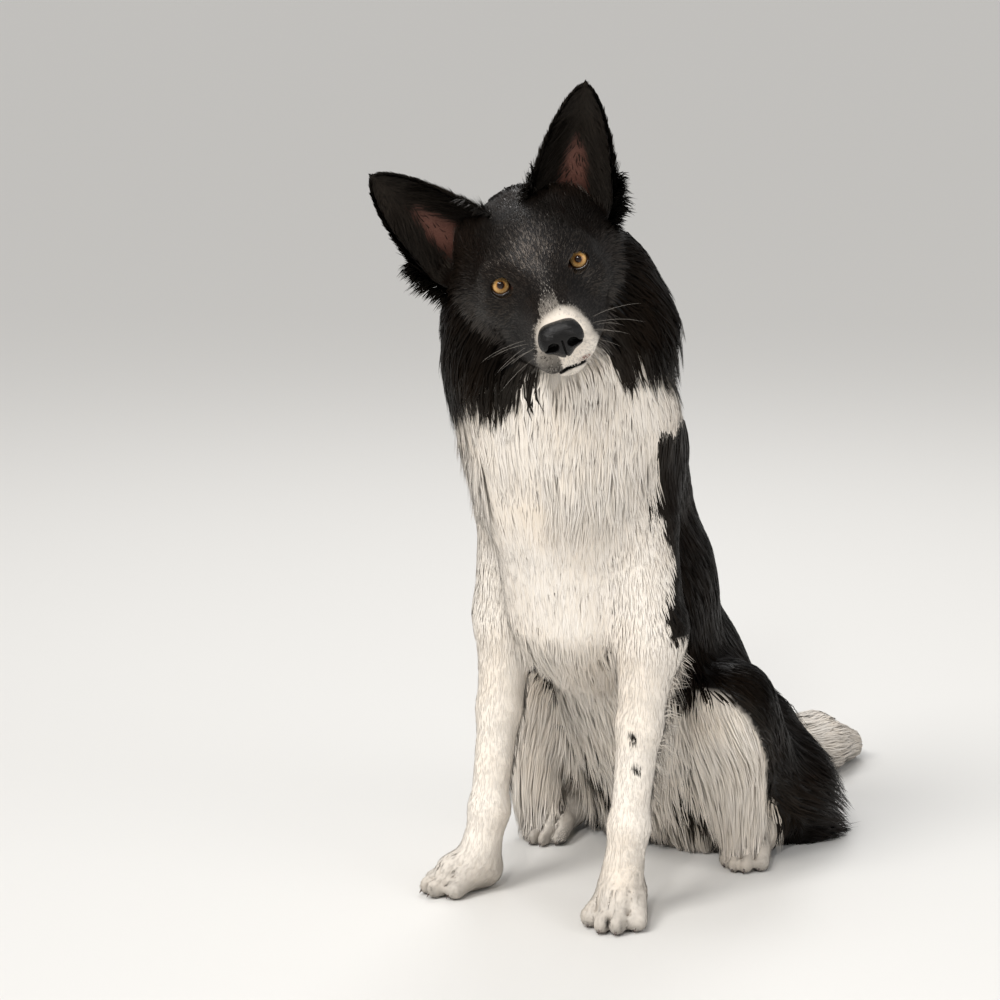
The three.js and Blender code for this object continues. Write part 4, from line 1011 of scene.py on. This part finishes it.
skin.data.materials.append(skin_material())
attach(skin, "root")
FLESH = [name for name in frame["nodes"] if name.split("_")[0] not in ("eye", "nose")]
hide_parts(*FLESH)
print("skin stands for", len(FLESH), "nodes")

# %% [markdown]
# ## The coat
# Each part of the body has its own length, width and hang of hair. The coat is short and close on the
# face and feet, and longest on the ruff, the breast, the belly, the backs of the legs and the tail.
# White and black hair are kept in pieces of their own, so that each takes its own finish.

# %% The coat of each part
# length is base + gain x depth of coat. tip is how high tufts end. cling 1 hugs the body and 0 hangs free.
FIELDS = "base gain tip cling droop sway width stations rise reach pull uneven".split()
COATS = dict(
    face=(3.5, 0.8, (0.85, 1.0), 1.0, 0.0, 0.1, 0.8, 3, 0.5, 2.5, 0.2, 0.08),
    ruff=(20, 1.5, (0.85, 1.0), 0.8, 0.15, 0.32, 1.3, 4, 0.5, 9, 0.7, 0.12),
    throat=(12, 0.9, (0.95, 1.0), 1.0, 0.0, 0.15, 1.5, 4, 0.15, 6, 0.25, 0.05),
    collar=(18, 1.2, (0.95, 1.02), 0.95, 0.03, 0.26, 1.7, 4, 0.2, 10, 0.45, 0.06),
    chest=(16, 1.0, (0.98, 1.0), 1.0, 0.0, 0.18, 1.9, 4, 0.12, 8, 0.25, 0.05),
    shoulder=(9, 0.9, (0.97, 1.0), 1.0, 0.0, 0.09, 1.4, 3, 0.14, 4, 0.15, 0.04),
    back=(15, 1.3, (0.85, 1.0), 1.0, 0.0, 0.13, 1.4, 4, 0.35, 7, 0.45, 0.1),
    belly=(20, 1.3, (0.7, 1.1), 0.5, 0.5, 0.3, 1.1, 4, 0.5, 9, 0.65, 0.1),
    foreleg=(5, 1.0, (0.9, 1.0), 1.0, 0.0, 0.1, 0.9, 3, 0.22, 3, 0.2, 0.08),
    paw=(3.5, 0.8, (0.88, 1.0), 1.0, 0.0, 0.14, 0.8, 3, 0.35, 2.5, 0.3, 0.12),
    thigh=(14, 1.4, (0.8, 1.03), 0.92, 0.05, 0.2, 1.4, 4, 0.4, 8, 0.55, 0.1),
    shank=(9, 1.3, (0.8, 1.05), 0.85, 0.1, 0.22, 1.1, 4, 0.5, 5, 0.5, 0.1),
    tail=(24, 1.5, (0.7, 1.1), 0.85, 0.0, 0.24, 1.4, 4, 0.5, 9, 0.6, 0.1),
)
HAIR_FLOOR = 0.6  # no tuft comes nearer the floor than this, in millimetres
THINNESS = 0.2  # a tuft's thickness as a share of its width
FACE_TONE_AND_SHADE = 0.76  # the hair of the face is painted darker: partly painted shade that dims the muzzle where it faces the light, and partly its greyer tone


def coat_of(part, chosen, label, longer=1.0, lie=None, **changes):
    """Grows the tufts of one part from the chosen roots, the black and the white apart."""
    coat = SimpleNamespace(**{**dict(zip(FIELDS, COATS[part])), **changes})
    start, normal, white = roots[chosen], root_normals[chosen], root_white[chosen]
    many = len(start)
    on_face = part == "face"
    direction = root_lie[chosen] if lie is None else lie(start, normal, root_lie[chosen])
    blurred = 0.7 if on_face else 0.16
    is_white = white > 0.5 + blurred * (rng.random(many) - 0.5)
    length = (coat.base + coat.gain * root_depth[chosen]) * longer * rng.uniform(0.75, 1.2, many)
    tip = rng.uniform(*coat.tip, many)
    if part in ("ruff", "collar"):  # at their border the black locks hang over the white
        length = length * np.where(is_white, 1, 1.1)
        tip = tip + np.where(is_white, -0.04, 0.03)
    paths, normals = paths_of(start, normal, direction, length, tip, coat)
    paths = gather(paths, coat.reach, coat.pull)
    for points in paths:
        points[:, 2] = np.maximum(points[:, 2], HAIR_FLOOR)
    wide = coat.width * rng.uniform(0.7, 1.3, many)
    grey = np.clip(white ** 1.4, 0.1, 1) if on_face else np.clip(white * 1.4, 0.35, 1)
    shade = np.where(is_white, grey, np.minimum(white * 0.3, 0.012))
    # the face's hair is painted darker, partly as painted shade on the muzzle that faces the light
    # the tufts of the feet are darkened towards the floor, partly as dust and partly as painted shade
    shade = shade * dust_and_painted_shade(start) * (FACE_TONE_AND_SHADE if on_face else 1)
    black_hair = SHORT_BLACK_HAIR if on_face else BLACK_HAIR
    kinds = ("white", is_white, WHITE_HAIR, 1), ("black", ~is_white, black_hair, 1.4)
    for colour, mask, material, more in kinds:
        if mask.sum() >= 30:  # fewer strays than that are left out
            tufts(f"coat_{label}_{colour}", [p[mask] for p in paths], [n[mask] for n in normals],
                  root_uv[chosen][mask], shade[mask], wide[mask], wide[mask] * THINNESS, material,
                  more * coat.uneven, 2 * more * coat.uneven)


def all_of(*names):
    return np.isin(root_part, [PARTS.index(name) for name in names])


def eye_free(points):
    """Keeps hair off the eyes and the nose."""
    h = to_head(points)
    free = away_from(h, (-0.5, -99, -29), (19, 17, 16)) > 1
    for s in (1, -1):
        from_eye = away_from(h - EYE_PLACE * (s, 1, 1), (-2.2 * s, 0, 0), (14, 30, 10.2))
        free &= ~((from_eye < 1) & (h[:, 1] < 5))
    return free & ~((np.abs(h[:, 2] - line_of_mouth(h[:, 0], h[:, 1])) < 3.5) & (h[:, 1] < -20))


def lifted(by, push=(0, 0, 0)):
    """A way to change the lie, off the skin by a share of its normal and along a push."""
    return lambda p, n, lie: lie + n * by + np.array(push)


def flared(p, n, lie):
    """The lie behind the haunches, which turns outwards near the floor."""
    low = np.clip((105 - p[:, 2]) / 75, 0, 1)
    return lie + np.stack([(0.2 + 0.5 * low) * np.sign(p[:, 0]), 0.55 + 0 * low,
                           0.4 * low - 0.3 + 0.2 * ripple(p, 16)], 1)


def wisped(p, n, lie):
    """The lie of the wisps behind the elbows, outwards, back and down or up by turns."""
    return n * 0.2 + np.stack([0.3 * np.sign(p[:, 0]), 1 + 0 * p[:, 0], -0.5 + 0.5 * ripple(p, 14)], 1)


HIGH_NECK = 412  # the collar lies above this height and the breast below it
x, y, z = roots.T
nx, ny, _ = root_normals.T
hx, hy, hz = to_head(roots).T
white = root_white > 0.5
free = eye_free(roots)
throat = all_of("ruff", "neck") & white & (np.abs(hx) < 44) & (hz < -58) & (hz > -150) & (y < 60)
collar = all_of("neck") & (z > HIGH_NECK) & ~throat
fringe = collar & (z < 470) & (ny < 0.6) & (np.abs(x + 6) > 34) & ((x < 50) | white)
britch = all_of("thigh") & (y > 290) & (z < 150) & ~white
curtain = all_of("thigh") & white
coat_of("face", all_of("face", "lid") & free, "face")
loose = rng.random(len(roots)) < 0.4
ruff = all_of("ruff") & free & ~throat
coat_of("ruff", ruff & ~loose, "ruff")
coat_of("ruff", ruff & loose, "ruff_locks", 1.1, lifted(0.2), cling=0.55, droop=0.12)
for s, label in SIDES:
    near_ear = np.hypot((hx - s * 54) / 25, (hz - 40) / 17) < rng.uniform(0.7, 1.1, len(roots))
    upwards = HEAD_TURN @ np.array([s * 0.35, 0.1, 1.0])
    coat_of("face", all_of("face", "ruff") & near_ear & (hy < 80), f"ear_base_{label}", 2.2,
            lambda p, n, lie: upwards + n * 0.15, cling=0.4, width=0.9)
coat_of("throat", throat, "throat")
coat_of("collar", collar & ~fringe, "collar")
coat_of("collar", fringe & ~loose, "collar_fringe", 1.2, lifted(0.3), cling=0.6, droop=0.0)
coat_of("ruff", fringe & loose, "collar_locks", 0.85, lifted(0.5), cling=0.45, droop=0.0)
breast = all_of("chest") | (all_of("neck") & (z <= HIGH_NECK))
coat_of("chest", breast, "chest")
coat_of("belly", breast & (z < 292) & (ny < 0.3), "brisket", 1.0, lifted(0.2), droop=0.3)
for part in ("shoulder", "back", "belly", "foreleg", "paw"):
    coat_of(part, all_of(part), part)
coat_of("thigh", all_of("thigh") & ~britch & ~curtain, "thigh")
coat_of("thigh", curtain, "curtain", 1.8, lifted(0, (0, -0.15, -0.6)), cling=0.4, droop=0.4, width=1.1)
coat_of("thigh", britch & ~loose, "britches", 1.25, flared, cling=0.65, droop=0.0)
coat_of("thigh", britch & loose, "britch_locks", 1.6, flared, cling=0.4, droop=0.0, width=1.2)
for part in ("shank", "tail"):
    coat_of(part, all_of(part), part)
upper_leg = all_of("foreleg", "shoulder")
feather = upper_leg & (ny > 0.45) & (z > 108) & (z < 330)
coat_of("belly", feather, "feathering", 1.1, lifted(0.5, (0, 0.5, -0.3)), cling=0.35, droop=0.25)
elbow = upper_leg & (ny > 0.05) & (nx * x > 0) & (z > 140) & (z < 244) & (root_white > 0.6)
elbow &= rng.random(len(roots)) < 0.4
coat_of("belly", elbow, "elbow_wisps", 2.0, wisped, cling=0.25, droop=0.3, width=0.9)

# %% [markdown]
# ## Hair on the ears
# The backs of the ears are clothed in short close hair. A fringe stands out from both edges, longest near
# the root, and long hair crosses the hollow of the cup.

# %% Ear hair
def ear_hair(s, kind, u, v, skin_depth, outwards, length, lean, spread, width=1.0, droop=0.0):
    """Tufts rooted at places of an ear's own grid."""
    lean, spread = np.full(len(u), lean), np.full(len(u), spread)
    here = ear_surface(s, u, v, skin_depth)
    up = unit(ear_surface(s, u + 0.02, v, skin_depth) - here)
    over = unit(ear_surface(s, u, v + 0.02, skin_depth) - here)
    middle = ear_surface(s, u, np.zeros_like(v), 14)
    out = np.cross(up, over)
    out *= np.sign(np.einsum("ij,ij->i", out, here - middle))[:, None] * outwards
    along = up + out * lean[:, None] + over * (np.sign(v) * spread)[:, None]
    along = unit(along + rng.normal(0, 0.12, along.shape))
    steps = 2 if length.max() < 20 else 3
    paths, points = [here - out * 0.4], here
    for k in range(steps):
        points = points + along * (length / steps)[:, None]
        along = unit(along + DOWN * droop - out * (0.25 * lean)[:, None])
        paths.append(points)
    paths = gather(paths, 3, 0.35)
    column = (0.25 if s < 0 else 0.75) + v * 0.11 + (0.115 if outwards < 0 else -0.115)
    tufts(f"ear_{kind}_{'left' if s > 0 else 'right'}", paths, [out] * len(paths),
          np.stack([column, 0.03 + np.clip(u, 0, 1) * 0.9], 1), 0.02, rng.uniform(0.7, 1.3, len(u)) * width,
          0.3, BLACK_HAIR)


def drawn_from(low, high, count):
    return rng.uniform(low, high, int(count * FULLNESS))


def either_edge(u, **chances):
    return rng.choice([-1, 1], len(u), **chances)


for s in (1, -1):
    u = drawn_from(-0.12, 0.99, 3300)
    v = drawn_from(-1, 1, 3300)
    ear_hair(s, "back", u, v, 0.0, 1, 7 + 10 * (1 - u) ** 2, 0.22, 0.1)

    u = drawn_from(-0.1, 0.98, 2000)
    v = either_edge(u) * drawn_from(0.86, 1.0, 2000)
    length = 7 + 22 * np.clip(1 - u, 0, 1) ** 2.2 * drawn_from(0.5, 1.2, 2000)
    ear_hair(s, "fringe", u, v, 1.0, 1, length, 0.12, 0.1 + 0.55 * (1 - u) * drawn_from(0, 1, 2000))

    u = drawn_from(-0.1, 0.98, 2600)
    opened = 0.46 * np.sqrt(np.maximum(1 - ((u - 0.2) / 0.34) ** 2, 0)) * (rng.random(len(u)) > 0.1)
    inwards = drawn_from(0, 1, 2600) ** 0.8 * (0.98 - opened)
    v = either_edge(u) * (0.98 - inwards)
    ear_hair(s, "inside", u, v, 2.8, -1, 7 + 5 * np.clip(1 - u, 0, 1), 0.2, -0.25, 0.8)

    u = drawn_from(-0.3, 0.16, 700)
    v = either_edge(u) * drawn_from(0.8, 1.0, 700)
    ear_hair(s, "ruff", u, v, 1.0, 1, drawn_from(18, 36, 700), 0.3, drawn_from(0.3, 1.3, 700), 1.1, 0.4)

    u = drawn_from(-0.05, 0.5, 800)
    v = either_edge(u, p=(0.7, 0.3)) * drawn_from(0.45, 0.98, 800)
    ear_hair(s, "tuft", u, v, 2.8, -1, drawn_from(22, 40, 800), 0.35, -0.3, 0.6)

# %% [markdown]
# ## Eyes
# An eye is a wet ball with a clear bulge over its amber iris. The rings of the iris could be cut as
# pieces, but their edges are soft in life. So the distance of each point from the line of sight is kept
# as an attribute, and the material turns that into pupil, iris, dark rim and white. Dark lids ring the
# eye like a thin rolled cord.

# %% Eyes and lids
GAZE = np.array([1259.6, -2149.9, 860.0])  # what the dog looks at


def eye_material():
    made, tree, shader = new_material("wet eye")
    off_axis = attribute_of(tree, (-900, 0), "off_axis")
    scaled = reckon(tree, (-700, 0), "MULTIPLY", off_axis, 1 / EYE_RADIUS)
    ramp = put(tree, "ShaderNodeValToRGB", (-500, 0), Fac=scaled)
    stops = [(0.0, (0.004, 0.003, 0.003)), (0.265, (0.004, 0.003, 0.003)), (0.30, (0.20, 0.08, 0.02)),
             (0.40, (0.66, 0.36, 0.11)), (0.58, (0.88, 0.56, 0.23)), (0.66, (0.26, 0.11, 0.03)),
             (0.72, (0.012, 0.007, 0.005)), (0.78, (0.10, 0.06, 0.05)), (0.86, (0.62, 0.52, 0.46)),
             (1.0, (0.70, 0.60, 0.54))]
    ramp.color_ramp.elements.remove(ramp.color_ramp.elements[1])
    for k, (at, colour) in enumerate(stops):
        element = ramp.color_ramp.elements[0] if k == 0 else ramp.color_ramp.elements.new(at)
        element.position = at
        element.color = (*colour, 1)
    fibres = texture(tree, "Noise", (-700, -300), Scale=1500.0, Detail=3.0)["Fac"]
    tint = stretch(tree, (-500, -300), fibres, 0.3, 0.75)
    darker = blend_colours(tree, (-350, 150), 0.4, ramp.outputs["Color"], (0.05, 0.02, 0.01, 1))
    feed(tree, shader, Base_Color=blend_colours(tree, (-200, 0), tint, darker, ramp.outputs["Color"]),
         Roughness=0.3, Specular_IOR_Level=0.0, Coat_Weight=1.0, Coat_Roughness=0.0, Coat_IOR=1.42)
    return made


def leather_material(name, dark, light, rough, scale, bump_height, coat, specular=0.5):
    made, tree, shader = new_material(name)
    pebbles = texture(tree, "Voronoi", (-700, 0), Scale=scale)["Distance"]
    cloud = texture(tree, "Noise", (-700, -300), Scale=scale / 6, Detail=3.0)["Fac"]
    bump = put(tree, "ShaderNodeBump", (-300, -400), Strength=0.6, Distance=bump_height, Height=pebbles)
    feed(tree, shader, Base_Color=blend_colours(tree, (-300, 0), cloud, dark, light),
         Roughness=stretch(tree, (-300, -200), cloud, 0, 1, rough * 0.8, rough * 1.3),
         Normal=bump.outputs["Normal"], Coat_Weight=coat, Coat_Roughness=0.2, Specular_IOR_Level=specular)
    return made


EYE = eye_material()
LID = leather_material("lid skin", (0.006, 0.005, 0.005, 1), (0.03, 0.016, 0.013, 1), 0.35, 900, 0.0002, 0.6)
NOSE = leather_material("nose leather", (0.0018, 0.0016, 0.0016, 1), (0.005, 0.0042, 0.004, 1), 0.24, 1100,
                        0.0005, 0.0, 0.28)
CORNEA = 8  # radius of the clear bulge over the iris
LID_RADIUS = 12.1  # how far the lid's edge lies from the middle of the eye
ALONG, AROUND = 72, 10  # points along and around the roll of a lid

for s, label in SIDES:
    centre = from_head(EYE_PLACE * (s, 1, 1))
    bpy.ops.object.select_all(action="DESELECT")
    bpy.ops.mesh.primitive_uv_sphere_add(segments=56, ring_count=40, radius=EYE_RADIUS / 1000)
    eye = bpy.context.object
    eye.name = f"eyeball_{label}"
    ball = points_of(eye)
    across = np.linalg.norm(ball - np.outer(ball @ [0, 0, 1], [0, 0, 1]), axis=1)
    off_axis = np.where(ball[:, 2] > 0, across, EYE_RADIUS + 0.1 * np.abs(ball[:, 2]))
    bulge = 1.3 * np.maximum(1 - (across / CORNEA) ** 2, 0) ** 1.5
    ball[:, 2] += np.where((ball[:, 2] > 0) & (across < CORNEA), bulge, 0)
    sight = Vector((GAZE - centre) / np.linalg.norm(GAZE - centre))
    aim = np.array(sight.to_track_quat("Z", "Y").to_matrix())
    ball = ball @ aim.T + centre
    eye.data.vertices.foreach_set("co", to_row(ball).astype(np.float32).ravel())
    set_attribute(eye, "off_axis", off_axis)
    eye.data.materials.append(EYE)
    bpy.ops.object.shade_smooth()
    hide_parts(f"eye_{label}")
    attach(eye, "root")

    # the lids: a rolled edge along an almond on the ball
    angle = np.linspace(0, 2 * math.pi, ALONG, endpoint=False)
    wide = np.where(np.cos(angle) * s > 0, 10.0, 11.4)
    px = wide * np.cos(angle) - 0.5 * s
    pz = 2.0 + 8.2 * np.sin(angle) * (1 - 0.16 * np.cos(angle) ** 4)
    pz = pz - 1.2 * np.maximum(-np.cos(angle) * s, 0) ** 3
    py = -np.sqrt(np.maximum(LID_RADIUS ** 2 - px ** 2 - pz ** 2, 4.0))
    path = np.stack([px, py, pz], 1)
    forward = unit(np.roll(path, -1, 0) - np.roll(path, 1, 0))
    out = unit(path)
    aside = np.cross(forward, out)
    around = np.linspace(0, 2 * math.pi, AROUND, endpoint=False)[None, :, None]
    ring = path[:, None] + out[:, None] * (1.15 * np.sin(around)) + aside[:, None] * (1.7 * np.cos(around))
    index = np.arange(ALONG * AROUND).reshape(ALONG, AROUND)
    after = np.roll(index, -1, 0)
    faces = np.stack([index, np.roll(index, -1, 1), np.roll(after, -1, 1), after], 2).reshape(-1, 4)
    lids = mesh_object(f"lids_{label}", from_head(ring.reshape(-1, 3) + EYE_PLACE * (s, 1, 1)), faces)
    face_outwards(lids)
    lids.data.materials.append(LID)
    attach(lids, "root")
print("eyes look at", GAZE)

# %% [markdown]
# ## Nose
# The nose is bare leather, broad above, with a wing round each nostril, a slit behind it and a furrow
# down the middle. Cuts made by a modifier would leave hard rims, so it is carved as a field of its own on
# a fine grid, where every cut has a soft edge.

# %% Nose
nose_axes = [np.arange(low, high, 0.75) for low, high in ((-30, 30), (-125, -72), (-62, 0))]
x, y, z = open_grid(*nose_axes)
d = ellipsoid(x, y, z, (-0.5, -97, -27.5), (18.5, 13, 13), 2.5)
for s in (1, -1):
    d = melt(d, ellipsoid(x, y, z, (s * 10.5 - 0.5, -101, -31), (8.5, 9, 9)), 5)
d = melt(d, ellipsoid(x, y, z, (-0.5, -98, -40), (8, 9, 8)), 6)
for s in (1, -1):
    d = carve(d, ellipsoid(x, y, z, (s * 8.8 - 0.5, -108, -33), (4.9, 6.5, 4.3)), 1.4)
    slit = ellipsoid(x, y, z + 0.35 * s * (x - s * 13), (s * 13.5 - 0.5, -107, -34.5), (6, 7, 1.2))
    d = carve(d, slit, 1.2)
furrow = np.maximum(np.abs(x + 0.5) - 0.45, np.maximum(z + 29, -d - 1.8))
d = carve(d, furrow, 1.4)
nose_points, nose_faces = surface_of(nose_axes, d)
nose = mesh_object("nose_leather", from_head(nose_points), nose_faces)
nose.data.materials.append(NOSE)
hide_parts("nose")
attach(nose, "root")
print("nose:", len(nose_faces), "triangles")

# %% [markdown]
# ## Claws
# Each toe ends in a claw that curves down to the floor. One claw is drawn out of a ring step by step,
# smaller each time and bent a little more, and a copy of it is set on every toe.

# %% Claws
CLAW_FLOOR = 0.3  # how near a claw comes to the floor
HORN = leather_material("claw horn", (0.02, 0.013, 0.011, 1), (0.11, 0.07, 0.055, 1), 0.3, 500, 0.0001, 0.3)
bpy.ops.object.select_all(action="DESELECT")
bpy.ops.mesh.primitive_circle_add(vertices=12, radius=0.0025, fill_type="NGON", rotation=(math.pi / 2, 0, 0))
claw = bpy.context.object
bpy.ops.object.transform_apply(location=True, rotation=True, scale=True)
bpy.ops.object.mode_set(mode="EDIT")
bpy.ops.mesh.select_all(action="SELECT")
for k in range(6):
    bpy.ops.mesh.extrude_region_move(TRANSFORM_OT_translate={"value": (0, -0.0015, -0.0003 - 0.00025 * k)})
    bpy.ops.transform.resize(value=(0.86 - 0.05 * k,) * 3)
bpy.ops.mesh.merge(type="CENTER")
bpy.ops.object.mode_set(mode="OBJECT")
face_outwards(claw)
claw_points = points_of(claw)
claw_polygons = [tuple(p.vertices) for p in claw.data.polygons]
bpy.data.objects.remove(claw)
all_points, all_polygons = [], []
for number, c in enumerate(claws):
    way = turn("Z", math.degrees(c.turn))
    placed = claw_points @ turn("X", 12).T @ way.T + c.root + way @ np.array([0, 3.6, -1.0])
    placed[:, 2] = np.maximum(placed[:, 2], CLAW_FLOOR)
    all_polygons += [tuple(i + number * len(claw_points) for i in face) for face in claw_polygons]
    all_points.append(placed)
mesh = bpy.data.meshes.new("claws")
mesh.from_pydata(to_row(np.concatenate(all_points)).tolist(), [], all_polygons)
horn = add_object("claws", mesh)
for polygon in mesh.polygons:
    polygon.use_smooth = True
mesh.materials.append(HORN)
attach(horn, "root")
print("claws:", len(claws))

# %% [markdown]
# ## Whiskers
# Whiskers are long stiff hairs in two rows on each upper lip. They are few and stand free, so each is a
# tuft of its own, as thin as a hair can be and still show, and it sags a little along its length.

# %% Whiskers
starts, ways, lengths = [], [], []
for s in (1, -1):
    for row in range(2):
        for k in range(3):
            starts.append((s * (19 + 2.6 * k), -82 + 10 * k, -38 - 6 * row + k))
            ways.append((s * 1.0, -0.35 + 0.3 * k, 0.1 - 0.3 * row))
            lengths.append(rng.uniform(26, 52))
starts, lengths = from_head(np.array(starts, float)), np.array(lengths)
ways = unit(np.array(ways) @ HEAD_TURN.T + rng.normal(0, 0.08, (len(ways), 3)))
off, out = field_and_normal(starts, 1.0)
points = starts - out * (off + 2)[:, None]
paths = [points]
for k in range(6):
    points = points + ways * (lengths / 6)[:, None]
    ways = unit(ways + np.array([0, 0, -0.09]) + rng.normal(0, 0.02, ways.shape))
    paths.append(points)
uv = np.random.default_rng(3).uniform(0.1, 0.9, (len(starts), 2))
tufts("whiskers", paths, [out] * len(paths), uv, 0.45, 0.2, 0.2, WHITE_HAIR)

# %% [markdown]
# ## Stage, light and camera
# The dog sits on a plain pale floor. A broad soft key light comes from high in front. A weaker one at
# the side fills the shadows, one from behind draws the gloss on the black coat, and one overhead lifts
# the crown and the back. A small soft box beside the camera puts the glint in each eye.

# %% Stage, light and camera
bpy.ops.object.select_all(action="DESELECT")
bpy.ops.mesh.primitive_plane_add(size=600)
floor = bpy.context.object
floor.name = "floor"
floor_finish, tree, shader = new_material("pale floor")
feed(tree, shader, Base_Color=(0.74, 0.73, 0.71, 1), Roughness=0.7)
floor.data.materials.append(floor_finish)

AIM = Vector((0, -0.05, 0.36))
WARM = (1, 0.98, 0.95)


def point_at(thing, way):
    thing.rotation_euler = way.to_track_quat("-Z", "Y").to_euler()


def light(name, kind, power, colour=(1, 1, 1)):
    data = bpy.data.lights.new(name, kind)
    data.energy = power
    data.color = colour
    return add_object(name, data)


def soft_light(name, azimuth, height, distance, size, power, colour=(1, 1, 1)):
    lamp = light(name, "AREA", power, colour)
    lamp.data.shape = "DISK"
    lamp.data.size = size
    angle, rise = math.radians(azimuth), math.radians(height)
    way = Vector((math.sin(angle) * math.cos(rise), -math.cos(angle) * math.cos(rise), math.sin(rise)))
    lamp.location = AIM + distance * way
    point_at(lamp, AIM - lamp.location)


key = light("key light", "SUN", 1.75, WARM)
key.data.angle = math.radians(22)
point_at(key, Vector((0.16, 0.70, -0.70)))
soft_light("fill light", 85, 20, 3.0, 1.8, 16)
soft_light("back light", 205, 48, 2.8, 1.2, 20)
soft_light("soft box", 17, 36, 3.0, 0.32, 24, WARM)
soft_light("top light", -15, 72, 2.6, 1.2, 16)
world = bpy.data.worlds.new("studio")
world.use_nodes = True
feed(world.node_tree, world.node_tree.nodes["Background"], Color=(1, 1, 1, 1), Strength=0.36)
bpy.context.scene.world = world
bpy.context.scene.view_settings.view_transform = "Standard"

LOOKING_DOWN, TURNED = 10.5, 31  # how far the camera is tipped and turned, in degrees
lens = bpy.data.cameras.new("camera")
lens.lens = 100
lens.sensor_width = 36
lens.clip_end = 1000
camera = add_object("camera", lens)
camera.location = to_row(GAZE)
camera.rotation_euler = (math.radians(90 - LOOKING_DOWN), 0, math.radians(TURNED))
bpy.context.scene.camera = camera
print("camera at", tuple(round(w, 3) for w in camera.location))

# %% [markdown]
# ## Size
# The dressed dog stays as big as its solids, apart from the tips of its hair. Here the scene is brought up to
# date.

# %% Size
bpy.context.view_layer.update()
